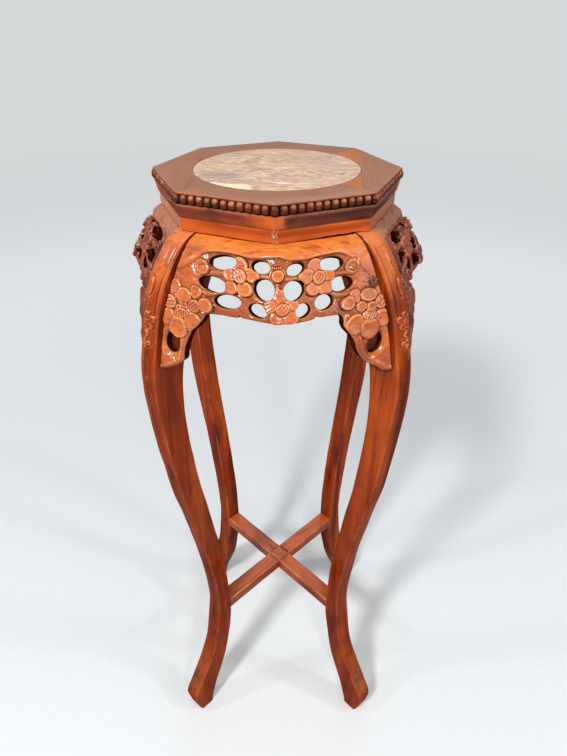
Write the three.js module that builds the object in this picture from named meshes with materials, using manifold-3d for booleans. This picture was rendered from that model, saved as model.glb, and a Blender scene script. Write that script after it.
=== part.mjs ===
// Carved hardwood fern stand: an octagonal top with a round marble inset, a mitred waist, four pierced
// aprons, four cabriole legs and a crossed stretcher.
// Millimetres, +Z up. The origin is on the floor under the middle of the top and the front faces -Y.
// The octagon has a corner at the front, and the legs stand on the diagonals, also at corners.
import * as THREE from "three";
import { mergeVertices } from "three/addons/utils/BufferGeometryUtils.js";
import Module from "manifold-3d";

const wasm = await Module();
wasm.setup();

// Heights
const legHeight = 873; // floor to the underside of the waist
const waistHeight = 14;
const frameThickness = 27; // the top's frame with its bead moulding and skirt

// Clearance between pieces that touch
const jointGap = 0.3;

// Top frame, radii of the octagon's corners
const topCorner = 144;
const topLip = 2.2; // plain lip above the beads
const lipRound = 1; // small round on the lip's upper edge
const skirtTopCorner = 143.5;
const skirtBottomCorner = 140;
const skirtHeight = 15;

// Bead moulding under the lip
const beadsPerSide = 12;
const beadDepth = 3.4; // how far a bead stands out of its groove
const beadGrooveCorner = 141.6;
const beadShape = [0.45, 1, 0.45]; // outline of a bead from its foot to its crown

// Marble inset and the board under it
const marbleRadius = 96;
const marbleThickness = 13.7;
const marbleEase = 1; // small chamfer on the marble's upper edge
const boardRadius = 104.5;
const boardThickness = 11;

// Joints of the top frame's mitres
const tongueInner = 106;
const tongueOuter = 126;
const tongueReach = 8;
const tongueThickness = 5;
const tongueRise = 16; // underside of the tongue above the frame's underside

// Waist and aprons share the line of their backs
const waistCorner = 138.8;
const apronDepth = 15; // front to back, level
const creaseSoftness = 8; // how far the crease in the middle of an apron is rounded

// Shoulder of the stand: depth under the waist, and the apron's corner radius there
const shoulderLine = [
  [0, 139], [3, 145], [8, 151.5], [13, 155.5], [20, 160.5], [29, 166], [43, 173.7], [61, 182.3], [81, 190],
  [109, 197.7], [142, 203.5],
];

// Lower edge of an apron from the middle out: distance from the middle, depth under the waist
const railEdge = [[0, 67.5], [23, 67], [43.5, 65], [68, 67.5]];
const spandrelEdge = [
  [76, 72.5], [82, 85], [91.5, 101], [97.5, 115], [100.5, 123.5], [113.5, 132.5], [130.5, 141],
];

// Pierced openings of an apron: distance right of the middle, depth under the waist, width and height
const piercings = [
  [-53, 18.5, 28.5, 14], [57.5, 19.5, 24.5, 14.5], [-64, 39, 27.5, 15], [68, 39.5, 21.5, 15],
  [-49, 53, 26.5, 13.5], [51, 53.5, 17, 15], [-14.5, 17, 18, 12.5], [21.5, 19.5, 16, 12],
  [-10.5, 36.5, 20.5, 20.5], [19.5, 38.5, 20, 19], [-17.5, 56, 18, 13], [28.5, 58, 15, 14.5],
  [-110, 105.5, 14.5, 22], [107.5, 104.5, 15, 21.5],
];
const piercingSteps = 12; // corners of each opening
const slabStep = 12; // most that a facet of the shoulder's curve is high
const creaseColumns = [3, 1.5]; // places beside the crease where its round is drawn, in creaseSoftness

// Tenons that join an apron's ends to the legs
const apronTenonFront = 4.5; // behind the apron's face
const apronTenonThickness = 6;
const apronTenonTop = 13; // depth under the waist
const apronTenonBottom = 66;
const apronTenonReach = 8;

// Legs, sawn from a plank and rounded at the shoulder
const legWidth = 27;
const legEase = 2; // small chamfer along the leg
// How far a leg stands out of the aprons, by depth under the waist
const proudLine = [[0, 1.5], [15, 3.5], [43, 6.8], [65, 6.5], [85, 5.2], [109, 4.3], [142, 3.7]];
// Outer ridge: height above the floor and distance from the stand's axis
const outerFoot = [
  [0, 208.5], [8, 211.5], [38, 219], [50, 217], [75, 203], [115, 181], [155, 165], [202, 156], [270, 150],
];
// Outer ridge: depth under the waist and distance from the axis, down from where the aprons end
const outerKnee = [[348, 190], [309, 195.5], [263, 201], [216, 205], [175, 207.3]];
const outerSag = 5; // how far the shank's outer line hangs inside a straight one, at its middle
// Inner face, the same way
const innerFoot = [
  [0, 184], [13, 181.5], [50, 170], [85, 155], [115, 144], [169, 132], [209, 125.5], [240, 125.3], [307, 127.5],
];
const innerKnee = [
  [382, 152.5], [334, 159.5], [285, 165], [236, 168.5], [193, 168.5], [155, 165], [133, 158], [110, 146],
  [83, 130], [53, 114], [23, 106], [0, 104],
];
const innerSag = 2;
const ridgeFadeTop = 110; // depth under the waist where the shoulder's ridge starts to flatten
const ridgeFadeBottom = 185;
const flatRidge = 1; // crown of the outer face below the shoulder
const legLevels = { foot: 6, ankle: 9, shank: 9 }; // sections drawn along each stretch of a leg

// Tenons at the legs' tops
const legTenonThickness = 12;
const legTenonWidth = 16;
const legTenonHeight = 24;

// Crossed stretcher
const stretcherTop = 240.5;
const stretcherHeight = 20;
const stretcherWidth = 24.5;
const stretcherTenonLength = 12;
const stretcherTenonHeight = 10;
const stretcherTenonWidth = 12;

// Glue blocks behind the waist
const blockWidth = 44;
const blockDepth = 19;
const blockDrop = 15; // below the waist

// Finishes
const finishes = {
  leg: { color: 0xa2441f, roughness: 0.35, metalness: 0 },
  apron: { color: 0xd47a38, roughness: 0.35, metalness: 0 },
  top: { color: 0x7d4023, roughness: 0.3, metalness: 0 },
  waist: { color: 0xb2552a, roughness: 0.35, metalness: 0 },
  stretcher: { color: 0xb9613c, roughness: 0.4, metalness: 0 },
  hidden: { color: 0xb08a5c, roughness: 0.7, metalness: 0 },
  marble: { color: 0xc4a49a, roughness: 0.2, metalness: 0 },
};

// Levels and shapes that follow from the sizes above
const waistTop = legHeight + waistHeight;
const overallHeight = waistTop + frameThickness;
const octagonSides = 8;
const octagonSlope = Math.tan(Math.PI / octagonSides); // how fast a side falls back from its corner
const quarterTurn = Math.PI / 2;
const frontRight = -Math.PI / 4; // direction of the front right leg
const far = 400; // larger than the stand is wide
const circleSteps = 48;
const waistBack = shoulderLine[0][1] - apronDepth; // corner radius of the backs of waist and aprons
const legTenonOuter = waistBack - octagonSlope * (legTenonWidth / 2) - 2 * jointGap;
const legTenonInner = legTenonOuter - legTenonThickness;

// A closed geometry as a solid that can be cut and joined.
function solid(geometry) {
  const bare = geometry.index ? geometry.toNonIndexed() : geometry.clone();
  bare.deleteAttribute("normal");
  bare.deleteAttribute("uv");
  const merged = mergeVertices(bare, 1e-4);
  return new wasm.Manifold(
    new wasm.Mesh({
      numProp: 3,
      vertProperties: merged.attributes.position.array,
      triVerts: new Uint32Array(merged.index.array),
    }),
  );
}

function geometryOf(body) {
  const { vertProperties, triVerts } = body.getMesh();
  const geometry = new THREE.BufferGeometry();
  geometry.setAttribute("position", new THREE.BufferAttribute(vertProperties, 3));
  geometry.setIndex(new THREE.BufferAttribute(triVerts, 1));
  geometry.computeVertexNormals();
  return geometry;
}

// A plan outline raised from one level to another.
function prism(points, bottom, top) {
  const shape = new THREE.Shape(points.map(([x, y]) => new THREE.Vector2(x, y)));
  const geometry = new THREE.ExtrudeGeometry(shape, { depth: top - bottom, bevelEnabled: false });
  return geometry.translate(0, 0, bottom);
}

function disc(radius, bottom, top) {
  const geometry = new THREE.CylinderGeometry(radius, radius, top - bottom, circleSteps);
  return geometry.rotateX(quarterTurn).translate(0, 0, (bottom + top) / 2);
}

// A box set out along a leg's diagonal: distance from the axis, sideways and up.
function diagonalBox([near, beyond], [left, right], [bottom, top]) {
  const geometry = new THREE.BoxGeometry(beyond - near, right - left, top - bottom);
  geometry.translate((near + beyond) / 2, (left + right) / 2, (bottom + top) / 2);
  return geometry.rotateZ(frontRight);
}

// A closed skin over rings of points, with each end filled by a fan about its middle.
function loft(rings) {
  const count = rings[0].length;
  const middle = (ring) => {
    const sum = ring.reduce((total, point) => total.add(new THREE.Vector3(...point)), new THREE.Vector3());
    return sum.divideScalar(count).toArray();
  };
  const last = (rings.length - 1) * count;
  const foot = rings.length * count;
  const faces = sideFaces(rings.length, count);
  for (let i = 0; i < count; i++) {
    const next = (i + 1) % count;
    faces.push(foot, next, i);
    faces.push(foot + 1, last + i, last + next);
  }
  return indexed([...rings.flat(), middle(rings[0]), middle(rings[rings.length - 1])], faces);
}

// The same for a slab's rings, which go along the front row and back along the back row.
function slabLoft(rings) {
  const count = rings[0].length;
  const last = (rings.length - 1) * count;
  const faces = sideFaces(rings.length, count);
  for (let i = 0; i + 1 < count / 2; i++) {
    const [front, back] = [i, count - 1 - i];
    faces.push(front, back, back - 1, front, back - 1, front + 1);
    faces.push(last + front, last + back - 1, last + back, last + front, last + front + 1, last + back - 1);
  }
  return indexed(rings.flat(), faces);
}

function sideFaces(levels, count) {
  const faces = [];
  for (let level = 0; level + 1 < levels; level++)
    for (let i = 0; i < count; i++) {
      const [a, b] = [level * count + i, level * count + ((i + 1) % count)];
      faces.push(a, b, b + count, a, b + count, a + count);
    }
  return faces;
}

function indexed(points, faces) {
  const geometry = new THREE.BufferGeometry();
  geometry.setAttribute("position", new THREE.Float32BufferAttribute(points.flat(), 3));
  return geometry.setIndex(faces);
}

// A smooth line through points given as [place, value], read at any place.
function smoothLine(points) {
  const sorted = [...points].sort((a, b) => a[0] - b[0]);
  const last = sorted.length - 1;
  const slope = (i) => {
    const [before, after] = [sorted[Math.max(i - 1, 0)], sorted[Math.min(i + 1, last)]];
    return (after[1] - before[1]) / (after[0] - before[0]);
  };
  return (place) => {
    const at = Math.min(Math.max(place, sorted[0][0]), sorted[last][0]);
    const i = Math.min(Math.max(sorted.findIndex(([p]) => p > at) - 1, 0), last - 1);
    const j = at >= sorted[last][0] ? last - 1 : i;
    const [[p0, v0], [p1, v1]] = [sorted[j], sorted[j + 1]];
    const span = p1 - p0;
    const t = (at - p0) / span;
    const rise = v1 - v0;
    return v0 + rise * t * t * (3 - 2 * t) + span * t * (1 - t) * (slope(j) * (1 - t) - slope(j + 1) * t);
  };
}

const spread = (from, to, count) =>
  Array.from({ length: count }, (_, i) => from + ((to - from) * i) / (count - 1));
const underWaist = (points, proud = () => 0) =>
  points.map(([depth, r]) => [legHeight - depth, r + proud(depth)]);
const legProud = smoothLine(proudLine);

// A leg's foot and knee joined by one point in the middle of the shank.
function withShank(foot, knee, sag) {
  const [ankle, calf] = [foot[foot.length - 1], knee[0]];
  return [...foot, [(ankle[0] + calf[0]) / 2, (ankle[1] + calf[1]) / 2 - sag], ...knee];
}
const fade = (value, from, to) => THREE.MathUtils.smoothstep(value, from, to);

// Levels at which the shoulder's curve is drawn between two heights: those of its line and some between them.
function shoulderLevels(bottom, top) {
  const marks = shoulderLine.map(([depth]) => legHeight - depth).filter((z) => z > bottom && z < top);
  const stops = [bottom, ...marks.reverse(), top];
  const stretches = stops
    .slice(1)
    .map((z, i) => spread(stops[i], z, Math.ceil((z - stops[i]) / slabStep) + 1));
  return [bottom, ...stretches.flatMap((stretch) => stretch.slice(1))];
}

const apronCorner = smoothLine(underWaist(shoulderLine));
const legOuter = smoothLine([
  ...withShank(outerFoot, underWaist(outerKnee), outerSag), ...underWaist(shoulderLine, legProud),
]);
const legInner = smoothLine(withShank(innerFoot, underWaist(innerKnee), innerSag));

// An octagon's corners, from the front one round.
const octagon = (radius) =>
  Array.from({ length: octagonSides }, (_, k) => {
    const angle = (k * 2 * Math.PI) / octagonSides - quarterTurn;
    return [radius * Math.cos(angle), radius * Math.sin(angle)];
  });
const atLevel = (points, z) => points.map(([x, y]) => [x, y, z]);

// The front quarter of the plan, between two diagonals and a set distance inside each.
function frontQuarter(inset, bottom, top) {
  const apex = inset * Math.SQRT2;
  return solid(prism([[0, -apex], [-far, -apex - far], [far, -apex - far]], bottom, top));
}

// The front surface of the front apron: distance of the face from the axis at a place.
const apronFace = (x, z) => apronCorner(z) - octagonSlope * Math.hypot(x, creaseSoftness);

// A slab that follows the apron's face, between two distances behind it. Its back keeps a sharp corner.
function apronSlab(front, back, bottom, top) {
  const near = creaseColumns.map((place) => place * creaseSoftness);
  const columns = [-far / 2, ...near.map((x) => -x), 0, ...[...near].reverse(), far / 2];
  const rings = shoulderLevels(bottom, top).map((z) => [
    ...columns.map((x) => [x, -apronFace(x, z) + front, z]),
    ...[...columns].reverse().map((x) => [x, -apronCorner(z) + octagonSlope * Math.abs(x) + back, z]),
  ]);
  return solid(slabLoft(rings));
}

// A cutter for one pierced opening, square to the carved face.
function piercing([x, depth, width, height]) {
  const z = legHeight - depth;
  const outline = Array.from({ length: piercingSteps }, (_, i) => {
    const angle = (2 * Math.PI * i) / piercingSteps;
    return [(width / 2) * Math.cos(angle), (height / 2) * Math.sin(angle)];
  });
  const geometry = prism(outline, -2 * apronDepth, 2 * apronDepth);
  const across = octagonSlope * (x / Math.hypot(x, creaseSoftness));
  const lean = apronCorner(z - 1) - apronCorner(z + 1);
  const normal = new THREE.Vector3(across, -1, lean / 2).normalize();
  const side = new THREE.Vector3(0, 0, 1).cross(normal).normalize();
  const up = normal.clone().cross(side);
  const place = new THREE.Matrix4().makeBasis(side, up, normal);
  place.setPosition(x, -apronFace(x, z), z);
  return solid(geometry.applyMatrix4(place));
}

// The apron's outline seen from the front, as a prism from front to back.
function apronOutline() {
  const half = [...railEdge, ...spandrelEdge].map(([x, depth]) => [x, legHeight - depth]);
  const reach = half[half.length - 1][0] + apronDepth;
  const low = half[half.length - 1][1];
  const right = [...half, [reach, low], [reach, legHeight - jointGap]];
  const left = right.slice(1).reverse().map(([x, z]) => [-x, z]);
  const geometry = prism([...right, ...left], 0, far);
  return solid(geometry.rotateX(quarterTurn));
}

// The tenon at each end of an apron, or the hole for it when it is grown by a clearance.
function apronTenons(clearance) {
  const slab = apronSlab(
    apronTenonFront - clearance,
    apronTenonFront + apronTenonThickness + clearance,
    legHeight - apronTenonBottom - clearance,
    legHeight - apronTenonTop + clearance,
  );
  const side = legWidth / 2;
  const outside = frontQuarter(side - apronTenonReach - clearance, 0, overallHeight);
  const inside = frontQuarter(side + 2 * apronTenonFront, 0, overallHeight);
  return slab.intersect(outside).subtract(inside);
}

function apron() {
  const lowest = legHeight - spandrelEdge[spandrelEdge.length - 1][1];
  let body = apronSlab(0, apronDepth, lowest - 1, legHeight - jointGap);
  body = body.intersect(apronOutline());
  body = body.intersect(frontQuarter(legWidth / 2 + jointGap, 0, overallHeight));
  for (const opening of piercings) body = body.subtract(piercing(opening));
  return geometryOf(body.add(apronTenons(0)));
}

// One level of a leg: a plank's section with a ridge on its outer face.
function legSection(z) {
  const depth = legHeight - z;
  const drop = THREE.MathUtils.lerp(
    octagonSlope * (legWidth / 2), flatRidge, fade(depth, ridgeFadeTop, ridgeFadeBottom),
  );
  const [inner, outer, side] = [legInner(z), legOuter(z), legWidth / 2];
  const edge = outer - drop;
  const shoulder = outer - drop * (1 - legEase / side);
  const half = [[inner, side - legEase], [inner + legEase, side], [edge - legEase, side], [shoulder, side - legEase]];
  const section = [...half.map(([r, t]) => [r, -t]), [outer, 0], ...half.reverse()];
  const [c, s] = [Math.cos(frontRight), Math.sin(frontRight)];
  return section.map(([r, t]) => [r * c - t * s, r * s + t * c, z]);
}

function leg() {
  const footTop = outerFoot[3][0];
  const shoulder = legHeight - outerKnee[outerKnee.length - 1][0];
  const ankle = outerFoot[outerFoot.length - 1][0];
  const levels = [
    ...spread(0, footTop, legLevels.foot),
    ...spread(footTop, ankle, legLevels.ankle).slice(1),
    ...spread(ankle, shoulder, legLevels.shank).slice(1),
    ...shoulderLevels(shoulder, legHeight - jointGap).slice(1),
  ];
  let body = solid(loft(levels.map(legSection)));
  const tenon = diagonalBox(
    [legTenonInner, legTenonOuter],
    [-legTenonWidth / 2, legTenonWidth / 2],
    [legHeight - 1, legHeight - jointGap + legTenonHeight],
  );
  body = body.add(solid(tenon));
  for (const side of [0, 1]) body = body.subtract(apronTenons(jointGap).rotate([0, 0, side * 90]));
  const middle = stretcherTop - stretcherHeight / 2;
  const [width, height] = [stretcherTenonWidth / 2 + jointGap, stretcherTenonHeight / 2 + jointGap];
  const mortise = diagonalBox(
    [0, stretcherReach() + stretcherTenonLength + jointGap], [-width, width], [middle - height, middle + height],
  );
  return geometryOf(body.subtract(solid(mortise)));
}

// Distance from the axis to where a stretcher meets a leg.
function stretcherReach() {
  const levels = spread(stretcherTop - stretcherHeight, stretcherTop, 5);
  return Math.min(...levels.map(legInner)) - jointGap;
}

// One bar of the crossed stretcher. The two are halved into each other.
function stretcher(over) {
  const reach = stretcherReach();
  const bottom = stretcherTop - stretcherHeight;
  const middle = stretcherTop - stretcherHeight / 2;
  const side = stretcherWidth / 2;
  let body = solid(diagonalBox([-reach, reach], [-side, side], [bottom, stretcherTop]));
  const end = reach + stretcherTenonLength;
  const [width, height] = [stretcherTenonWidth / 2, stretcherTenonHeight / 2];
  body = body.add(solid(diagonalBox([-end, end], [-width, width], [middle - height, middle + height])));
  const notch = side + jointGap;
  const levels = over ? [bottom - 1, middle + jointGap / 2] : [middle - jointGap / 2, stretcherTop + 1];
  return geometryOf(body.subtract(solid(diagonalBox([-notch, notch], [-notch, notch], levels))));
}

// The octagonal ring of beads, as levels of one scalloped outline.
function beadRing() {
  const bottom = waistTop + skirtHeight;
  const top = overallHeight - topLip;
  const corners = octagon(beadGrooveCorner);
  const stepsPerBead = 3; // two points on each bead and one in the groove
  const outline = (swell) =>
    corners.flatMap(([x0, y0], k) => {
      const [x1, y1] = corners[(k + 1) % corners.length];
      const steps = beadsPerSide * stepsPerBead;
      return Array.from({ length: steps }, (_, i) => {
        const along = (i + 0.5) / steps;
        const bump = i % stepsPerBead === 1 ? 0 : 1;
        const [x, y] = [x0 + (x1 - x0) * along, y0 + (y1 - y0) * along];
        const out = 1 + (beadDepth * swell * bump) / Math.hypot(x, y);
        return [x * out, y * out];
      });
    });
  const levels = spread(bottom, top, beadShape.length);
  return solid(loft(levels.map((z, i) => atLevel(outline(beadShape[i]), z))));
}

// The whole top's frame before it is parted at its mitres.
function frameRing() {
  const skirtTop = waistTop + skirtHeight;
  const lipBottom = overallHeight - topLip;
  const levels = [[skirtBottomCorner, waistTop], [skirtTopCorner, skirtTop], [beadGrooveCorner, skirtTop + lipRound]];
  levels.push([beadGrooveCorner, lipBottom - lipRound], [topCorner, lipBottom]);
  levels.push([topCorner, overallHeight - lipRound], [topCorner - lipRound, overallHeight]);
  const boardTop = overallHeight - marbleThickness;
  let body = solid(loft(levels.map(([radius, z]) => atLevel(octagon(radius), z)))).add(beadRing());
  body = body.subtract(solid(disc(marbleRadius + jointGap, waistTop - 1, overallHeight + 1)));
  body = body.subtract(solid(disc(boardRadius + jointGap, waistTop - 1, boardTop)));
  const mortise = diagonalBox(
    [legTenonInner - jointGap, legTenonOuter + jointGap],
    [-legTenonWidth / 2 - jointGap, legTenonWidth / 2 + jointGap],
    [waistTop - 1, legHeight + legTenonHeight],
  );
  for (let k = 0; k < 4; k++) body = body.subtract(solid(mortise.clone().rotateZ(k * quarterTurn)));
  return body;
}

// The tongues at a frame member's mitres, or the slots for them when grown by a clearance.
function mitreTongues(clearance) {
  const bottom = waistTop + tongueRise;
  const tongue = diagonalBox(
    [tongueInner - clearance, tongueOuter + clearance],
    [-tongueReach - clearance, tongueReach + clearance],
    [bottom - clearance, bottom + tongueThickness + clearance],
  );
  const other = tongue.clone().rotateZ(-quarterTurn);
  return solid(tongue).add(solid(other));
}

// A member of the top frame, drawn at the front. Members with tongues enter the slots of the others.
function frameMember(ring, tongued) {
  const body = ring.intersect(frontQuarter(jointGap / 2, 0, overallHeight + 1));
  return geometryOf(tongued ? body.add(mitreTongues(0)) : body.subtract(mitreTongues(jointGap)));
}

// One side of the waist, between the front corner and the front right one.
function waistBoard() {
  const [outer, inner] = [octagon(waistCorner), octagon(waistBack)];
  const outline = [inner[0], outer[0], outer[1], inner[1]];
  const centre = outline.reduce(([x, y], [px, py]) => [x + px / 4, y + py / 4], [0, 0]);
  const along = new THREE.Vector2(outer[1][0] - outer[0][0], outer[1][1] - outer[0][1]).normalize();
  const trimmed = outline.map(([x, y]) => {
    const before = (x - centre[0]) * along.x + (y - centre[1]) * along.y < 0;
    const shift = (before ? jointGap : -jointGap) / 2;
    return [x + along.x * shift, y + along.y * shift];
  });
  return prism(trimmed, legHeight, waistTop - jointGap);
}

// A block glued behind the waist's front corner, under the top.
function glueBlock() {
  const corner = waistBack - jointGap;
  const half = blockWidth / 2;
  const outline = [
    [0, -corner], [half, -corner + octagonSlope * half], [half, -corner + blockDepth], [-half, -corner + blockDepth],
    [-half, -corner + octagonSlope * half],
  ];
  return prism(outline, legHeight - blockDrop, waistTop - jointGap);
}

function marble() {
  const bottom = overallHeight - marbleThickness;
  const profile = [
    [0, bottom], [marbleRadius, bottom], [marbleRadius, overallHeight - marbleEase],
    [marbleRadius - marbleEase, overallHeight], [0, overallHeight],
  ];
  const points = profile.map(([r, z]) => new THREE.Vector2(r, z));
  return new THREE.LatheGeometry(points, circleSteps).rotateX(quarterTurn);
}

function board() {
  const top = overallHeight - marbleThickness - jointGap;
  return disc(boardRadius, top - boardThickness, top);
}

const stand = new THREE.Group();
stand.name = "fern_stand";

function addPiece(name, geometry, finish, turn = 0) {
  const mesh = new THREE.Mesh(geometry, new THREE.MeshStandardMaterial(finishes[finish]));
  mesh.name = name;
  mesh.rotation.z = turn;
  stand.add(mesh);
}

addPiece("marble_inlay", marble(), "marble");
addPiece("marble_support_board", board(), "hidden");

const faces = ["front", "right", "back", "left"];
const ring = frameRing();
const plainMember = frameMember(ring, false);
const tonguedMember = frameMember(ring, true);
const apronGeometry = apron();
const boardGeometry = waistBoard();
const blockGeometry = glueBlock();
faces.forEach((face, k) => {
  const turn = k * quarterTurn;
  addPiece("top_frame_" + face, k % 2 ? tonguedMember : plainMember, "top", turn);
  addPiece("apron_" + face, apronGeometry, "apron", turn);
  addPiece("glue_block_" + face, blockGeometry, "hidden", turn);
  addPiece("waist_" + face + "_right", boardGeometry, "waist", turn);
  addPiece("waist_" + face + "_left", boardGeometry, "waist", turn - Math.PI / 4);
});

const legGeometry = leg();
["front_right", "back_right", "back_left", "front_left"].forEach((corner, k) =>
  addPiece("leg_" + corner, legGeometry, "leg", k * quarterTurn),
);
addPiece("stretcher_over", stretcher(true), "stretcher");
addPiece("stretcher_under", stretcher(false), "stretcher", quarterTurn);

export default stand;
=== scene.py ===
# A carved fern stand: an octagonal top with a round marble inset, a bead moulding, pierced aprons carved
# with blossom, cabriole legs and a crossed stretcher. Shapes are worked out in millimetres, +Z up, with the
# front facing -Y, and each mesh is turned to metres when it is made.
from math import atan2, copysign, cos, degrees, hypot, pi, radians, sin, sqrt, tan

import bpy
import numpy as np
from mathutils import Matrix, Vector

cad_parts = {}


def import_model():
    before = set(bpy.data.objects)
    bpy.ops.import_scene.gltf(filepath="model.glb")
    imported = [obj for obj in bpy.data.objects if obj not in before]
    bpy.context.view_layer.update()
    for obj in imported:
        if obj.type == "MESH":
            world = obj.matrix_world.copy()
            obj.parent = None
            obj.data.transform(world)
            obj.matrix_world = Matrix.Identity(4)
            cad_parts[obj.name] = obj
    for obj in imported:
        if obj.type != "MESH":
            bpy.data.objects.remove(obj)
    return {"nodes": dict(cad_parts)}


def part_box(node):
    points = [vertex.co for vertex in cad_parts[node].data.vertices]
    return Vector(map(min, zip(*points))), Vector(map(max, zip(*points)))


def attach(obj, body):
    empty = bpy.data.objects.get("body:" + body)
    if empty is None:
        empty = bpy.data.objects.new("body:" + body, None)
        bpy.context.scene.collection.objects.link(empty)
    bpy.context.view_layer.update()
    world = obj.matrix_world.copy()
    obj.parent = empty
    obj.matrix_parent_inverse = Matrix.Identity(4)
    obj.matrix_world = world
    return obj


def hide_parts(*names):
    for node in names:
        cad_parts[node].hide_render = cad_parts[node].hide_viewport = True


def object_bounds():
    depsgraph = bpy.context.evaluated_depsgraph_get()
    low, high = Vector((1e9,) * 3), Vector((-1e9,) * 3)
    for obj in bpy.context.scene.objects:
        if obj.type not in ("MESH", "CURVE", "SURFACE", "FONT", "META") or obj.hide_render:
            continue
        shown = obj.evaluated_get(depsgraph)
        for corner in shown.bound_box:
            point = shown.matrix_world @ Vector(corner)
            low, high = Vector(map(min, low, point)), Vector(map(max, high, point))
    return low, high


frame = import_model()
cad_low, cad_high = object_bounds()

MM = 0.001


def box_of(node):
    """Lowest and highest corner of a solid of the frame, in millimetres."""
    low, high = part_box(node)
    return np.array(low) / MM, np.array(high) / MM


# Levels and sizes of the frame
JOINT_GAP = 0.3
TOP = cad_high.z / MM
WAIST_BOTTOM = box_of("waist_front_right")[0][2]
WAIST_TOP = box_of("waist_front_right")[1][2] + JOINT_GAP
MARBLE_LOW, MARBLE_HIGH = box_of("marble_inlay")
MARBLE_RADIUS = MARBLE_HIGH[1]
BOARD_RADIUS = box_of("marble_support_board")[1][1] + JOINT_GAP
STRETCHER_BOTTOM = box_of("stretcher_over")[0][2]
STRETCHER_TOP = box_of("stretcher_over")[1][2]
SIDE_SLOPE = tan(pi / 8)  # how fast a side of the octagon falls back from its corner
FLAT_SHARE = cos(pi / 8)  # an octagon's distance to its flats, as a share of that to its corners

# Plan radii of the top's and waist's corners
TOP_CORNER = 144
LIP_HEIGHT = 2.2
GROOVE_CORNER = 141.2
SKIRT_TOP_CORNER = 143.5
SKIRT_BOTTOM_CORNER = 140
SKIRT_HEIGHT = 15
WAIST_CORNER = 138.8
WAIST_BACK = 124

# Bead moulding
BEADS_PER_SIDE = 12
BEAD_CORNER = 141.2
BEAD_HALF = (4.6, 5.2, 4.65)  # out, up and along
BEAD_POWER = 2.4  # 2 is a ball, more is squarer

# Shoulder of the stand: depth under the waist, and the aprons' corner radius there
SHOULDER_LINE = [
    (0, 139), (3, 145), (8, 151.5), (13, 155.5), (20, 160.5), (29, 166), (43, 173.7), (61, 182.3), (81, 190),
    (109, 197.7), (142, 203.5),
]
APRON_DEPTH = 13.5  # front to back, level
CREASE = 8  # how far the crease in the middle of an apron is rounded
FINE_STEP, PLAIN_STEP = 0.65, 0.85  # grids of the front apron's carving and of the others
GROUND = 2.8  # how deep the ground between the blossoms lies
SEAM = 13.65  # an apron ends this far beside a leg's middle
LATTICE_THINNED = 1.5  # how much thinner the apron is around its openings
EDGE_ROUND, SEAM_ROUND, TOP_ROUND = 2.0, 1.2, 0.8  # round of an apron's openings, ends and upper edge

# Legs: distance from the axis on the outer ridge and on the inner face, by height from the foot up and by
# depth under the waist from the knee up
LEG_HALF = 13.5
LEG_ROUND = 2.4
PROUD_LINE = [(0, 1.5), (15, 3.5), (43, 6.8), (65, 6.5), (85, 5.2), (109, 4.3), (142, 3.7)]  # past the aprons
OUTER_FOOT = [
    (0, 208.5), (8, 211.5), (38, 219), (50, 217), (75, 203), (115, 181), (155, 165), (202, 156), (270, 150),
]
OUTER_KNEE = [(348, 190), (309, 195.5), (263, 201), (216, 205), (175, 207.3)]
OUTER_SAG = 5
INNER_FOOT = [
    (0, 184), (13, 181.5), (50, 170), (85, 155), (115, 144), (169, 132), (209, 125.5), (240, 125.3),
    (307, 127.5),
]
INNER_KNEE = [
    (382, 152.5), (334, 159.5), (285, 165), (236, 168.5), (193, 168.5), (155, 165), (133, 158), (110, 146),
    (83, 130), (53, 114), (23, 106), (0, 104),
]
INNER_SAG = 2
RIDGE_FADE = (110, 185)  # depths between which the shoulder's ridge flattens
FLAT_RIDGE = 1
RIDGE_SOFT = 2.0  # how far the ridge is rounded
TENON = ((106, 118), 8, 24)  # from and to the axis, half width, height above the leg
TRAIL_DEPTH = 1.7  # carving on the shoulder, as a share of the heights given for it
LEG_TOP = WAIST_BOTTOM - JOINT_GAP

# Crossed stretcher
STRETCHER_HALF = 12.25
STRETCHER_ROUND = 2.2
STRETCHER_END = 125  # distance of its ends from the axis


# Lines, distances and small shaping tools

def smooth_line(points):
    """A smooth curve through (place, value) points, as a function of place."""
    table = np.array(sorted(map(tuple, points)), float)
    place, value = table[:, 0], table[:, 1]
    index = np.arange(len(place))
    before, after = np.maximum(index - 1, 0), np.minimum(index + 1, len(place) - 1)
    slope = (value[after] - value[before]) / (place[after] - place[before])

    def read(at):
        at = np.clip(at, place[0], place[-1])
        i = np.clip(np.searchsorted(place, at, side="right") - 1, 0, len(place) - 2)
        span = place[i + 1] - place[i]
        t = (at - place[i]) / span
        rise = value[i + 1] - value[i]
        bend = slope[i] * (1 - t) - slope[i + 1] * t
        return value[i] + rise * t * t * (3 - 2 * t) + span * t * (1 - t) * bend

    return read


def smooth_path(points, step):
    """Places along a smooth curve through points of a plane, about a step apart."""
    points = np.array(points, float)
    along = np.concatenate([[0], np.cumsum(np.hypot(*np.diff(points, axis=0).T))])
    places = np.linspace(0, along[-1], max(int(along[-1] / step), 1) + 1)
    lines = [smooth_line(np.column_stack([along, points[:, axis]])) for axis in (0, 1)]
    return np.column_stack([line(places) for line in lines])


def ease(value, low, high):
    """0 below low, 1 above high and smooth between them."""
    t = np.clip((value - low) / (high - low), 0, 1)
    return t * t * (3 - 2 * t)


def path_distance(x, y, path):
    """Distance to the nearest stretch of a path of straight pieces."""
    nearest = np.full(np.shape(x), np.inf)
    for (ax, ay), (bx, by) in zip(path[:-1], path[1:]):
        ex, ey = bx - ax, by - ay
        share = np.clip(((x - ax) * ex + (y - ay) * ey) / max(ex * ex + ey * ey, 1e-9), 0, 1)
        nearest = np.minimum(nearest, np.hypot(x - ax - share * ex, y - ay - share * ey))
    return nearest


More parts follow.
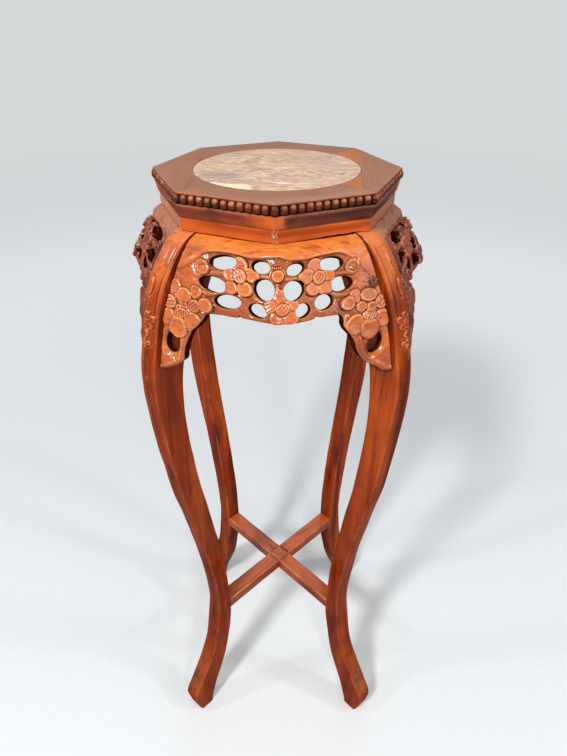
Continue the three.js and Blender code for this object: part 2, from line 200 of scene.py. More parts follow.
def outline_distance(x, y, outline):
    """Distance to a closed outline, positive outside it and negative inside."""
    closed = np.vstack([outline, outline[:1]])
    inside = np.zeros(np.shape(x), bool)
    for (ax, ay), (bx, by) in zip(closed[:-1], closed[1:]):
        if ay != by:
            inside ^= ((ay > y) != (by > y)) & (x < ax + (y - ay) * (bx - ax) / (by - ay))
    distance = path_distance(x, y, closed)
    return np.where(inside, -distance, distance)


def oval_distance(u, v, wide, tall):
    """Roughly the distance outside an oval, negative inside."""
    near = np.hypot(u / wide, v / tall) + 1e-6
    steep = np.hypot(u / wide**2, v / tall**2) + 1e-6 / np.maximum(wide, tall)
    return near * (near - 1) / steep


def ripple(x, y, seed, length, amount):
    """A gentle unevenness of hand work, with waves of about the given length."""
    chance = np.random.default_rng(seed)
    total = np.zeros(np.shape(x))
    count = 7
    for _ in range(count):
        angle, shift = chance.uniform(0, 2 * pi, 2)
        pitch = 2 * pi / (length * chance.uniform(0.6, 1.7))
        total += np.sin((x * cos(angle) + y * sin(angle)) * pitch + shift)
    return total * amount / sqrt(count)


def waves(place, apart):
    """Even waves from 0 to 1 and back, their crests a distance apart."""
    return 0.5 + 0.5 * np.cos(2 * pi * place / apart)


def blurred(values, times):
    """Each value mixed with its neighbours on the grid, some times over."""
    for _ in range(times):
        around = [np.roll(values, shift, axis) for shift in (1, -1) for axis in (0, 1)]
        values = (values + sum(around)) / 5
    return values


NEAR_AREA, FAR_AREA = 2, 24  # what a place is compared with, in square millimetres
FULL_DIP, FULL_BASIN, FULL_EDGE = 0.6, 2.8, 0.4  # height differences that count in full


def hollows_and_edges(height, step=0.8):
    """How much painted shade each place of a grid takes for lying lower than the places around it, and how
    far it stands up as an edge, lightened as wear and painted highlight, both from 0 to 1.
    """
    near, far = (blurred(height, round(area / step**2)) - height for area in (NEAR_AREA, FAR_AREA))
    hollow = np.clip(np.maximum(near / FULL_DIP, far / FULL_BASIN), 0, 1)
    return hollow, np.clip(-near / FULL_EDGE, 0, 1)


class Relief:
    """Carved heights over a chart of places across and along a surface.

    Marks are given by their place across and along. flip is -1 where they are mirrored, and reach turns the
    second number of a mark into the length along the surface."""

    def __init__(self, across, along, flip=1, reach=float):
        self.across, self.along, self.flip, self.reach = across, along, flip, reach
        # Heights, a darkening that is partly real stain and partly painted shade, and where faces take a
        # painted sheen.
        self.height, self.stain, self.pale = (np.zeros(np.shape(across)) for _ in range(3))

    def local(self, x, s, turn=0):
        angle = radians(self.flip * turn)
        c, d = cos(angle), sin(angle)
        dx, ds = self.across - self.flip * x, self.along - self.reach(s)
        return dx * c + ds * d, ds * c - dx * d

    def distance(self, path):
        """Distance to a smooth line through marks."""
        marks = [(self.flip * x, self.reach(s)) for x, s in path]
        return path_distance(self.across, self.along, smooth_path(marks, 1.5))

    def lay(self, inside, surface, groove, stain=0, pale=0):
        """Lays a surface over what is carved so far, with a crisp rim and a groove just outside it."""
        cover = ease(inside, -0.5, 0.5)
        self.height += (surface - self.height) * cover
        self.height -= groove * np.exp(-(((inside + 0.6) / 0.5) ** 2))
        self.stain += (stain - self.stain) * cover
        self.pale += (pale - self.pale) * cover

    def petal(self, x, s, wide, tall, turn=0, taper=0, level=0.7, crown=1.0, tilt=0, lines=0, cuts=0,
              groove=0.6, stain=0):
        u, v = self.local(x, s, turn)
        narrowed = wide * (1 - taper * np.clip(v / tall, -1, 1))
        share = np.clip(np.hypot(u / narrowed, v / tall), 0, 1)
        surface = level + crown * (0.55 + 0.45 * share**2) * (1 - share**12) + tilt * v / tall
        if lines:
            surface = surface - 0.2 * waves(u, lines) * (1 - share**6)
        if cuts:
            surface = surface - 0.85 * waves(u + 0.25 * v, cuts) ** 3 * (1 - share**8)
        self.lay(-oval_distance(u, v, narrowed, tall), surface, groove, stain, 1 - stain)

    def stroke(self, path, half, level, crown, groove=0.2):
        distance = self.distance(path)
        surface = level + crown * (1 - np.clip(distance / half, 0, 1) ** 2)
        self.lay(half - distance, surface, groove)

    def cut(self, path, half, depth):
        self.height -= depth * np.exp(-((self.distance(path) / half) ** 2))

    def score(self, x, s, turn, apart, depth):
        """Fine strokes side by side over a round spot."""
        u, v = self.local(x, s, turn)
        self.height -= depth * waves(u, apart) ** 2 * (np.hypot(u, v) < 6)


# Meshes

BOARD_SHIFTS = np.random.default_rng(5)


def placed(name, data):
    """A new object in the scene."""
    thing = bpy.data.objects.new(name, data)
    bpy.context.scene.collection.objects.link(thing)
    return thing


def add_mesh(name, points, faces, material, slot, turn, sharp, node=None, raw=None, **layers):
    """A piece of the stand, which takes the place of the node that it is named after, or of another.

    Edges stay crisp where they turn by more than sharp. Layers are numbers kept at each point, 0 where they
    run out. raw holds 1 for each face that was left sawn and unpolished, if any was; these faces take the
    sawn wood, dark partly with painted shade."""
    mesh = bpy.data.meshes.new(name)
    mesh.from_pydata((np.asarray(points) * MM).tolist(), [], faces)
    mesh.shade_smooth()
    mesh.set_sharp_from_angle(angle=radians(sharp))
    layers["board"] = np.full(len(points), BOARD_SHIFTS.uniform())
    for label, values in layers.items():
        full = np.zeros(len(points), np.float32)
        full[:np.size(values)] = np.ravel(values)
        mesh.attributes.new(label, "FLOAT", "POINT").data.foreach_set("value", full)
    mesh.materials.append(material)
    if raw is not None:
        mesh.materials.append(shaded_sawn_wood)
        mesh.polygons.foreach_set("material_index", np.asarray(raw, np.int32))
    piece = placed(name, mesh)
    piece.rotation_euler.z = radians(turn)
    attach(piece, "root")
    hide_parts(node or name)


def loft(rings):
    """A closed skin over rings of points, which run anticlockwise seen from the far end."""
    rings = np.asarray(rings, float)
    levels, count = rings.shape[:2]
    index = np.arange(levels * count).reshape(levels, count)
    beside = np.roll(index, -1, axis=1)
    sides = np.stack([index[:-1], beside[:-1], beside[1:], index[1:]], axis=-1).reshape(-1, 4)
    return rings.reshape(-1, 3), [*sides.tolist(), index[0][::-1].tolist(), index[-1].tolist()]


def joined(parts):
    """Several (points, faces) skins as one."""
    points, faces, start = [], [], 0
    for part_points, part_faces in parts:
        points.append(part_points)
        faces += [[start + corner for corner in face] for face in part_faces]
        start += len(part_points)
    return np.vstack(points), faces


def carved_skin(inside, front, back, shares):
    """A closed panel over the part of a grid where inside is above 0.

    front and back hold a row of numbers for each place of the grid, the first three being the point and the
    fourth how much painted shade it takes. Between them run walls, dark partly with painted shade, with rows
    of points at shares of the way."""
    solid = inside > 0
    index = np.full(solid.shape, -1)
    index[solid] = np.arange(solid.sum())
    fronts, backs = list(front[solid]), list(back[solid])
    whole = solid[:-1, :-1] & solid[1:, :-1] & solid[1:, 1:] & solid[:-1, 1:]
    around = (index[:-1, :-1], index[1:, :-1], index[1:, 1:], index[:-1, 1:])
    cells = np.stack([corner[whole] for corner in around], axis=1).tolist()
    touched = solid[:-1, :-1] | solid[1:, :-1] | solid[1:, 1:] | solid[:-1, 1:]
    crossings, segments = {}, []

    def crossing(a, b):
        if (a, b) not in crossings:
            share = inside[a] / (inside[a] - inside[b])
            crossings[a, b] = len(fronts)
            fronts.append(front[a] + (front[b] - front[a]) * share)
            backs.append(back[a] + (back[b] - back[a]) * share)
        return crossings[a, b]

    for row, column in np.argwhere(touched & ~whole).tolist():
        corners = [(row, column), (row + 1, column), (row + 1, column + 1), (row, column + 1)]
        polygon, ends = [], []
        for a, b in zip(corners, corners[1:] + corners[:1]):
            if solid[a]:
                polygon.append(int(index[a]))
            if solid[a] != solid[b]:
                polygon.append(crossing(a, b) if solid[a] else crossing(b, a))
                ends.append((polygon[-1], solid[a]))
        cells.append(polygon)
        for (one, leaves), (other, _) in zip(ends, ends[1:] + ends[:1]):
            if leaves:
                segments.append((one, other))

    count = len(fronts)
    rim = sorted(crossings.values())
    place = {corner: k for k, corner in enumerate(rim)}
    fronts, backs = np.array(fronts), np.array(backs)
    rows = [fronts[rim] + (backs[rim] - fronts[rim]) * share for share in shares]
    for row in rows:
        row[:, 3] = 1
    walls = len(shares)
    faces = cells + [[count + corner for corner in cell[::-1]] for cell in cells]

    def level(corner, k):
        if k == 0:
            return corner
        if k > walls:
            return count + corner
        return 2 * count + (k - 1) * len(rim) + place[corner]

    for one, other in segments:
        for k in range(walls + 1):
            faces.append([level(other, k), level(one, k), level(one, k + 1), level(other, k + 1)])
    raw = np.ones(len(faces), int)
    raw[:len(cells)] = 0
    return np.vstack([fronts, backs, *rows]), faces, raw


# Materials

def rgb(red, green, blue):
    """A colour given in screen values from 0 to 255, as the shaders want it."""
    share = np.array([red, green, blue]) / 255
    linear = np.where(share <= 0.04045, share / 12.92, ((share + 0.055) / 1.055) ** 2.4)
    return (*linear.tolist(), 1)


def toned(value):
    """A shader's colour for a tone of three screen values or for a grey. A socket stays as it is."""
    if isinstance(value, tuple):
        return rgb(*value)
    return value if isinstance(value, bpy.types.NodeSocket) else (value, value, value, 1)


class Tree:
    """The nodes of a material or of the world, made one call at a time."""

    def __init__(self, name, kind=bpy.data.materials):
        self.owner = kind.new(name)
        self.owner.use_nodes = True
        self.nodes, self.links = self.owner.node_tree.nodes, self.owner.node_tree.links

    def add(self, kind, inputs, **settings):
        node = self.nodes.new("ShaderNode" + kind)
        for key, value in settings.items():
            setattr(node, key, value)
        self.feed(node, inputs)
        return node

    def feed(self, node, inputs):
        for key, value in inputs.items():
            if isinstance(value, bpy.types.NodeSocket):
                self.links.new(value, node.inputs[key])
            else:
                node.inputs[key].default_value = value

    def surface(self, inputs):
        """Sets the surface, and returns the material."""
        self.feed(self.nodes["Principled BSDF"], inputs)
        return self.owner

    def place(self):
        return self.add("TexCoord", {}).outputs["Object"]

    def split(self, vector):
        return self.add("SeparateXYZ", {"Vector": vector}).outputs

    def shifted(self, vector, shift):
        return self.add("VectorMath", {0: vector, 1: shift}, operation="ADD").outputs[0]

    def length(self, vector):
        return self.add("VectorMath", {0: vector}, operation="LENGTH").outputs["Value"]

    def noise(self, vector, scale, detail=3, roughness=0.5, distortion=0):
        inputs = {"Vector": vector, "Scale": scale, "Detail": detail, "Roughness": roughness}
        return self.add("TexNoise", {**inputs, "Distortion": distortion}).outputs["Fac"]

    def stretched(self, vector, scale):
        return self.add("Mapping", {"Vector": vector, "Scale": scale}).outputs["Vector"]

    def ramp(self, value, *stops):
        node = self.add("ValToRGB", {"Fac": value})
        elements = node.color_ramp.elements
        node.color_ramp.interpolation = "EASE"
        while len(elements) < len(stops):
            elements.new(1)
        for element, (place, tone) in zip(elements, stops):
            element.position = place
            element.color = toned(tone)
        return node.outputs["Color"]

    def mix(self, share, one, other, blend="MIX"):
        node = self.add("Mix", {}, data_type="RGBA", blend_type=blend)
        self.feed(node, {0: share, 6: toned(one), 7: toned(other)})
        return node.outputs[2]

    def math(self, operation, one, other):
        return self.add("Math", {0: one, 1: other}, operation=operation).outputs[0]

    def times(self, one, other):
        return self.math("MULTIPLY", one, other)

    def layer(self, label):
        return self.add("Attribute", {}, attribute_name=label).outputs["Fac"]

    def bump(self, height, strength, distance, normal=None):
        inputs = {"Height": height, "Strength": strength, "Distance": distance}
        if normal:
            inputs["Normal"] = normal
        return self.add("Bump", inputs).outputs["Normal"]


GRAIN_STRETCH = 0.05  # a fibre's width to its length


def wood(name, tones, grain, faded, shade_and_dirt_tone, wear_and_highlight, contrast=1.0, lacquer=0.3, facing=(0.45, 0.95),
         lit=None, strip=None):
    """Stained and lacquered hardwood with its fibres along one axis of the piece, with painted light and
    sheen where it faces up.

    faded is the tone of that painted light and sheen, and facing holds how far up a face looks where it
    starts and is full. The tone after faded is for painted shade with dirt, and the one after that for wear
    with painted highlight on edges. lit is the tone of the glow layer, which paints highlights and sheen.
    strip, if given, turns the tree and the place in the piece into the share of a pale strip."""
    dark, middle, light = tones
    tree = Tree(name)
    place, board = tree.place(), tree.layer("board")
    shifted = tree.shifted(place, tree.add("CombineXYZ", dict.fromkeys("XYZ", board)).outputs[0])
    fibres = tree.stretched(shifted, [GRAIN_STRETCH if axis == grain else 1.0 for axis in "XYZ"])
    bands = tree.noise(fibres, 170, 4, 0.6, 0.9)
    fine = tree.noise(fibres, 900, 2, 0.6)
    blotch = tree.noise(shifted, 24, 3, 0.6)
    colour = tree.ramp(tree.noise(fibres, 45, 2, 0.5, 0.4), (0.3, dark), (0.5, middle), (0.7, light))
    upward = tree.split(tree.add("NewGeometry", {}).outputs["Normal"])["Z"]
    # Faces that look up take the faded tone, which is painted light and sheen.
    colour = tree.mix(tree.ramp(upward, (facing[0], 0.0), (facing[1], 0.9)), colour, faded)
    # The glow layer paints highlights and sheen in the lit tone.
    if lit:
        colour = tree.mix(tree.layer("glow"), colour, lit)
    if strip:
        colour = tree.mix(strip(tree, place), colour, SAPWOOD)
    stripe = tree.ramp(bands, (0.34, 1.0), (0.46, 0.0), (0.56, 0.0), (0.68, 0.4))
    colour = tree.mix(tree.times(stripe, 0.42 * contrast), colour, dark)
    thread = tree.ramp(fine, (0.3, 0.78), (0.52, 1.0), (0.72, 1.1))
    colour = tree.mix(0.5 * contrast, colour, thread, "MULTIPLY")
    cloud = tree.ramp(blotch, (0.3, 0.82), (0.55, 1.0), (0.75, 1.12))
    colour = tree.mix(0.7 * contrast, colour, cloud, "MULTIPLY")
    speck = tree.ramp(tree.noise(shifted, 700, 2, 0.7), (0.42, 0.35), (0.56, 1.0))
    edge_patches = tree.ramp(blotch, (0.38, 0.1), (0.62, 0.6))
    # The darkening and lightening layers: real stain together with painted shade, painted shade in hollows
    # and on shaded sides with dirt in scratches and joints, lighter edges of wear together with painted
    # highlights, and dried glue.
    covers = [("stain", 0.8, STAIN_AND_SHADE_TONE), ("hollow", 0.8, shade_and_dirt_tone), ("edge", edge_patches, wear_and_highlight)]
    covers += [("glue", speck, DRIED_GLUE)]
    for label, share, tone in covers:
        colour = tree.mix(tree.times(tree.layer(label), share), colour, tone)
    uneven = tree.bump(blotch, 0.2, 0.0012)
    normal = tree.bump(tree.math("ADD", bands, fine), 0.18 * contrast, 0.0003, uneven)
    return tree.surface({
        "Base Color": colour, "Roughness": tree.ramp(bands, (0.3, 0.4), (0.7, 0.55)), "Normal": normal,
        "Specular IOR Level": 0.0, "Coat Weight": lacquer, "Coat IOR": 2.0, "Coat Roughness": 0.16,
        "Coat Normal": tree.bump(blotch, 0.15, 0.001),
    })


def shaded_sawn_material():
    """Dark, rough wood inside the openings, along the lower edges and behind, its darkness partly painted
    shade.
    """
    tree = Tree("shaded_sawn_wood")
    streaks = tree.noise(tree.stretched(tree.place(), (1.0, 1.0, 0.2)), 260, 4, 0.6)
    colour = tree.ramp(streaks, (0.35, (38, 11, 4)), (0.55, (70, 24, 10)), (0.7, (104, 42, 20)))
    return tree.surface({
        "Base Color": colour, "Roughness": 0.85, "Normal": tree.bump(streaks, 0.3, 0.0004),
        "Specular IOR Level": 0.0,
    })


def sapwood_strip(tree, place):
    """The pale edge of the board on the right, beside the marble."""
    split = tree.split(place)
    inward = tree.math("ADD", split["Y"], tree.times(split["X"], 0.105))
    upward = tree.math("GREATER_THAN", split["Z"], (TOP - 1) * MM)
    return tree.times(tree.math("GREATER_THAN", inward, -97 * MM), upward)


def blot(tree, place, wobble, centre, half, turn, soft):
    """The share of an uneven oval patch: its centre and half sizes in millimetres and its turn in degrees."""
    inside = tree.add("Mapping", {
        "Vector": place, "Location": (centre[0] * MM, centre[1] * MM, 0), "Rotation": (0, 0, radians(turn)),
        "Scale": (half[0] * MM, half[1] * MM, 100),
    }, vector_type="TEXTURE").outputs[0]
    return tree.ramp(tree.math("ADD", tree.length(inside), wobble), (1 - soft, 1.0), (1.0, 0.0))


# Patches of the marble: tone, strength, centre, half sizes, turn and softness
PATCHES = [
    ((152, 124, 116), 0.8, (-64, -14), (30, 26), 0, 0.5),
    ((212, 176, 104), 0.55, (-78, 34), (9, 13), -30, 0.6),
    ((186, 140, 112), 0.6, (54, 58), (30, 30), 0, 0.7),
    ((240, 222, 188), 0.92, (-54, -66), (33, 17), -8, 0.14),
    ((248, 226, 190), 0.85, (-30, -87), (22, 6), -4, 0.3),
    ((248, 224, 184), 0.85, (54, -68), (26, 5), 38, 0.4),
    ((250, 232, 204), 0.9, (-27, -27), (10, 2.4), -46, 0.4),
    ((250, 232, 204), 0.9, (2, -44), (24, 2), -4, 0.4),
]


def marble_material():
    """Polished pinkish-beige stone with fine streaks to the left and right, mauve wisps and cream patches."""
    tree = Tree("marble")
    place = tree.place()
    push = tree.times(tree.noise(place, 16, 3, 0.55), 0.05)
    bent = tree.shifted(place, tree.add("CombineXYZ", {"X": 0.0, "Y": push}).outputs[0])
    streaks = tree.stretched(bent, (0.5, 1.5, 1.0))
    body = tree.noise(streaks, 110, 9, 0.78, 0.9)
    veins = tree.noise(streaks, 75, 9, 0.7, 1.3)
    wobble = tree.math("SUBTRACT", tree.noise(streaks, 70, 5, 0.65), 0.5)
    tones = [(0.37, (140, 98, 74)), (0.45, (186, 142, 110)), (0.52, (210, 172, 138)), (0.62, (232, 208, 176))]
    pink = tree.ramp(tree.noise(streaks, 30, 5, 0.6, 0.6), (0.42, 0.0), (0.6, 0.5))
    colour = tree.mix(pink, tree.ramp(body, *tones), (196, 146, 122))
    strong = tree.times(wobble, 2.2)
    for shade, share, *patch in PATCHES:
        colour = tree.mix(tree.times(blot(tree, bent, strong, *patch), share), colour, shade)
    for low, width, share, tone in ((0.40, 0.03, 0.4, (134, 88, 68)), (0.55, 0.025, 0.5, (250, 228, 198))):
        line = tree.ramp(veins, (low, 0.0), (low + width, 1.0), (low + 2 * width, 0.0))
        colour = tree.mix(tree.times(line, share), colour, tone)
    return tree.surface({
        "Base Color": colour, "Roughness": tree.ramp(body, (0.3, 0.16), (0.7, 0.26)),
        "Normal": tree.bump(body, 0.05, 0.0004), "Specular IOR Level": 0.2,
    })


# Tones of the wood: dark, middle and light
RED_BROWN = ((96, 28, 4), (152, 54, 12), (184, 78, 22))
ORANGE = ((160, 60, 16), (200, 96, 34), (224, 120, 46))
# The side and back aprons, darker with painted shade
SHADED_SIDE_TONES = ((84, 26, 14), (124, 48, 30), (156, 72, 50))
DARK_RED = ((70, 20, 6), (128, 46, 16), (160, 66, 24))
WAIST_TONES = ((164, 60, 14), (206, 92, 28), (230, 114, 40))
# The side and back waist boards, paler and pinker with painted sheen
SHEEN_WAIST_TONES = ((150, 84, 58), (176, 108, 80), (196, 130, 102))
BAR_TONES = ((120, 40, 10), (166, 68, 28), (194, 92, 44))
RAW = ((150, 112, 74), (176, 136, 94), (196, 158, 114))
SAPWOOD = (178, 110, 66)
# Darkening that is partly real stain and partly painted shade, as on the carved ground
STAIN_AND_SHADE_TONE = (136, 60, 26)
DRIED_GLUE = (222, 186, 150)
# Painted highlight on the top's skirt beside the front corner
GLOW = (226, 100, 26)
# Painted sheen on the front apron's petal faces
PETAL = (198, 104, 52)
# Painted shade in crevices, with dirt in scratches
CREVICE_SHADE_AND_DIRT = (28, 7, 3)
# The top's painted sheen where it faces up, then its painted shade
TOP_SHEEN = (160, 112, 88)
TOP_SHADE = (34, 10, 3)

# After its tones, each wood takes its fibres' axis, the tone of painted light and sheen where it faces up,
# the tone of painted shade with dirt, the tone of wear with painted highlight on edges, then contrast,
# lacquer, facing and the glow layer's tone.
leg_wood = wood(
    "leg_wood", RED_BROWN, "Z", (216, 126, 76), (46, 12, 4), (232, 136, 84), 1.4, 0.1, facing=(0.32, 0.8),
)
apron_wood = wood(
    "apron_wood", ORANGE, "X", (218, 120, 42), (40, 10, 3), (240, 166, 112), 1.8, 0.4, (0.3, 0.8), PETAL,
)
# A darker copy of the front apron's wood for the other aprons, a painted shade.
shaded_side_wood = wood(
    "shaded_side_apron_wood", SHADED_SIDE_TONES, "X", (176, 116, 90), CREVICE_SHADE_AND_DIRT, (190, 116, 92), 1.2, 0.2, (0.5, 0.72),
)
# The top's painted sheen and painted shade, and wear with painted highlight on its edges
TOP_PAINTED_LIGHT_AND_WEAR = (TOP_SHEEN, TOP_SHADE, (220, 144, 100))
top_wood = wood("top_wood", DARK_RED, "X", *TOP_PAINTED_LIGHT_AND_WEAR, 0.5, 0.16, lit=GLOW)
pale_top_wood = wood("pale_top_wood", DARK_RED, "X", *TOP_PAINTED_LIGHT_AND_WEAR, 0.35, 0.16, lit=GLOW, strip=sapwood_strip)
waist_wood = wood("waist_wood", WAIST_TONES, "X", (230, 130, 70), (80, 24, 8), (240, 140, 74), 1.3, 0.14)
# A paler copy of the waist's wood for the other boards, a painted sheen.
sheen_waist_wood = wood(
    "sheen_waist_wood", SHEEN_WAIST_TONES, "X", (200, 140, 110), (90, 40, 24), (216, 160, 130), lacquer=0.2,
)
stretcher_wood = wood("stretcher_wood", BAR_TONES, "X", (188, 92, 50), CREVICE_SHADE_AND_DIRT, (228, 156, 112), 1.2, 0.2)
shaded_sawn_wood = shaded_sawn_material()
hidden_wood = wood("hidden_wood", RAW, "X", RAW[2], (70, 46, 26), RAW[2], lacquer=0.0)
marble_stone = marble_material()


# Shoulder profile: radius, length along it and lean by depth under the waist

shoulder_radius = smooth_line(SHOULDER_LINE)
DEPTHS = np.linspace(-4, SHOULDER_LINE[-1][0] + 6, 800)
RADII = shoulder_radius(DEPTHS)
LENGTHS = np.concatenate([[0], np.cumsum(np.hypot(np.diff(DEPTHS), np.diff(RADII)))])
LENGTHS -= np.interp(0, DEPTHS, LENGTHS)
LEANS = np.gradient(RADII, DEPTHS)


def down(depth):
    """Length along the shoulder at a depth."""
    return float(np.interp(depth, DEPTHS, LENGTHS))


def depth_at(length):
    return np.interp(length, LENGTHS, DEPTHS)


# Aprons. Places are the distance right of the middle and the depth under the waist.

ARCH_EDGE = [
    (-139.4, 141.1), (-128.5, 139.9), (-119.4, 136.6), (-107.4, 129.4), (-100.4, 123.3), (-98.9, 114.1),
    (-94.2, 98.9), (-88.6, 88.4), (-83, 83.1), (-76.9, 75.7), (-73.9, 69.5), (-65.6, 67.6), (-54.9, 66.8),
    (-44.4, 66.7), (-39.6, 66.3), (-37.6, 63.6), (-35.4, 65.7), (-31.3, 65.8), (-19.9, 66.1), (-9.8, 66.2),
    (-3.5, 66.3), (2.7, 66.8), (12.6, 67.5), (22.6, 68.4), (32.7, 68.2), (41.6, 67.3), (43.8, 64.2),
    (46.4, 66.7), (53.2, 67.1), (63.7, 67.6), (69, 68.2), (71.5, 71.6), (71.6, 77.8), (75.4, 85.2),
    (80.4, 91), (84.5, 98.9), (87.5, 108.1), (93.5, 118.2), (101.5, 125.9), (111.5, 132), (118.6, 138.1),
    (127.6, 140.2), (139.5, 141.2),
]
BAND_EDGE = [
    (-98.3, 30.3), (-82.5, 20.5), (-74.8, 13.9), (-63, 10.9), (-43.3, 10), (-22.9, 11.5), (-4.6, 8.9),
    (4.1, 8.6), (13.5, 11.5), (29.7, 13), (46.9, 11.7), (65.3, 11.5), (75.1, 14.9), (84.9, 22.5),
    (98.6, 36.3),
]

# Openings: place, half width and half height, and turn in degrees. The last two lie in the lower corners.
OPENINGS = [
    (-54.2, 18.3, 15.6, 7.7, -8), (58.2, 19.5, 13, 7.7, 4), (-65.2, 39.4, 15, 7.9, 6),
    (68.6, 38.8, 11.7, 7.8, 4), (-50.2, 53, 14.3, 7.2, -6), (51.2, 53, 9.8, 8.2, 8),
    (-15.4, 17.1, 9.7, 6.8, 0), (21.8, 19.4, 9, 6.5, -14), (-11.6, 36.5, 11.2, 10.9, 0),
    (19.8, 38.1, 10.9, 10.2, 0), (-18.6, 56.1, 9.7, 6.9, 8), (28.9, 57.5, 8.4, 7.5, -10),
    (-112.6, 105.6, 8.3, 12.2, 3), (107.9, 104.3, 8, 11.8, 16),
]

# Petals of the blossoms: place, half width, half height. The last one is the heart, with its cuts' turn.
BLOSSOMS = [
    [(-23.4, 26, 6.3, 7.1), (-35.7, 19.5, 7.9, 7), (-45.8, 28.7, 6.1, 5.5), (-31, 38.9, 7.3, 6.5),
     (-44.6, 39.5, 6, 5.8), (-35.3, 28.4, 6.5, 7.1, -32)],
    [(39.9, 19.8, 6.7, 6.6), (31.3, 27.9, 6.9, 6.7), (52.9, 29.9, 6.3, 6.1), (38.9, 38.9, 6.3, 6.3),
     (50.7, 40.1, 6.7, 6.3), (43.7, 30.2, 6.1, 6.7, 36)],
    [(5.2, 43.8, 8.3, 6.7), (-4.5, 51.2, 6.3, 6.3), (16.5, 50.7, 5.9, 5.9), (2.9, 61.4, 7.5, 6.1),
     (16.6, 62.1, 7.1, 5.8), (7.5, 53.6, 6.5, 5.8, 48)],
]
# Branches between the blossoms: their line and half width
STEMS = [
    ([(-64.8, 29.3), (-56.9, 28.4), (-49, 27.4)], 3.2),
    ([(-82.6, 46.2), (-70.8, 48.7), (-58.9, 46.2), (-45.1, 43.2)], 3.0),
    ([(2.7, 31.4), (2.5, 36.3), (4.1, 41.3)], 2.2), ([(-21.5, 26.4), (-11.6, 25.4), (-2.8, 25.4)], 2.6),
    ([(8.1, 26.4), (17.9, 28.4), (27.7, 27.4)], 2.6), ([(57.3, 30.4), (67.1, 29.4), (78.9, 30.4)], 2.8),
    ([(53.4, 44.3), (63.2, 48.3), (73.1, 49.3)], 3.0),
]
# Big petals in the corners: place, half width, half height, turn, taper, level, crown and darkening; the
# right corner's heavier darkening is painted shade
LEFT_PETALS = [
    (-104.9, 46.7, 5.8, 6.6, 0, 0, 0.1, 0.6, 0.12), (-82.6, 49.7, 5.4, 6.6, 18, 0.35, 0.0, 0.8, 0.12),
    (-95, 54.2, 7.6, 7.4, 0, 0, 0.5, 0.9, 0.12), (-113.9, 77.1, 8, 8.6, 14, -0.15, 0.3, 0.9, 0.12),
    (-86.5, 78.8, 9.4, 11.2, -26, -0.12, 0.2, 1.1, 0.12),
    (-102.4, 85.7, 9.1, 11.2, 2, -0.2, 0.7, 1.2, 0.12), (-72.4, 60.3, 7.2, 7.2, 0, 0, 0.2, 1.0, 0.12),
]
RIGHT_PETALS = [
    (82.9, 52.3, 5, 7, -20, 0.2, 0.1, 0.9, 0.25), (96.4, 53.3, 8.4, 6.4, 10, 0, 0.7, 1.3, 0.7),
    (74.8, 74.8, 3.6, 6.8, 0, 0, -0.4, 0.8, 0.5), (113.1, 77.7, 8, 9.2, -12, -0.1, 0.3, 0.9, 0.15),
    (83.7, 79.9, 9.8, 10.2, 20, -0.12, 0.4, 1.1, 0.35), (98.8, 85.6, 9.1, 11.2, -4, -0.15, 0.8, 1.1, 0.3),
    (75.1, 58.3, 6.8, 6.6, -30, 0.15, 0.3, 1.5, 0.3),
]
LUMP = (100.5, 42.5, 8)  # place and half width of the rough bark
CORNER_FROM, CORNER_UNDER = (83, 95), (83, 94)  # beside the middle and down, where the lower corners begin
BAND_ENDS = (68, 84)  # beside the middle, where the ground rises to the face again
RIM = (1.4, 4.5, 2.2)  # height, distance inside the lower outline and half width of the corners' raised rim
DISH = (2.4, 5.5)  # depth and reach of the hollow around the lower openings
DARK_TIPS = (118, 138)  # depths between which the tips darken
SQUARED = (3, 18)  # down the face, where the back turns from level to square with it
THINNED = ((16, 24), (58, 64), 84)  # down to and up from the thinner part, and how far it goes beside
WALL_ROWS = (0.08, 0.35, 0.7)  # rows of points between front and back
CHART_HALF = 138  # the grid's reach to either side
FAR_BELOW = [(150, 260), (-150, 260)]  # closes the lower outline outside the grid
GLUE_SMEARS = [(80, 5, 1.0), (-82, 4, 0.6)]  # place at the upper edge, reach and strength


def blossom(relief, petals, heart):
    hx, hd, wide, tall, turn = heart
    for k, (x, depth, a, b) in enumerate(petals):
        away = degrees(atan2(-(x - hx), depth - hd))
        level = -0.1 + 0.6 * (k % 3)
        relief.petal(x, depth, a + 1.1, b + 1.1, away * 0.5, 0, level, 1.5, 0.5, 3.1 * (k == 1))
    relief.petal(hx, hd, wide + 0.3, tall + 0.3, level=1.3, crown=1.7)
    u, v = relief.local(hx, hd, turn)
    share = np.clip(np.hypot(u / wide, v / tall), 0, 1)
    relief.height -= 0.75 * waves(u + 0.05 * v * v, 2.9) ** 2 * (1 - share**4) * (share < 1)


def carve_middle(relief):
    for path, half in STEMS:
        relief.stroke(path, half, 0.3 - GROUND, 1.9)
    for *petals, heart in BLOSSOMS:
        blossom(relief, petals, heart)
    relief.petal(2.5, 23.5, 8.8, 8.2, level=-1.6, crown=0.5, groove=0.3)
    relief.petal(2.8, 24.3, 6.3, 6.3, level=0.6, crown=2.2)
    relief.petal(2.7, 35.9, 1.8, 3.4, level=0.1, crown=0.9)
    for k in range(-2, 3):
        relief.petal(1.5 + 1.9 * k, 17.5, 0.85, 1.7, -4 * k, level=0.4, crown=0.9, groove=0.7)
    relief.petal(-76.2, 25.6, 7.6, 8, level=-1.2, crown=1.3)
    relief.cut([(-80.5, 29.3), (-78.6, 24.4), (-73.7, 23)], 0.9, 1.3)
    relief.petal(79.3, 25.1, 7.6, 8.2, level=-1.2, crown=1.2, lines=3.0, stain=0.3)
    relief.petal(79.9, 25.5, 3.2, 3.4, level=0.2, crown=0.6, cuts=2.4, stain=0.3)


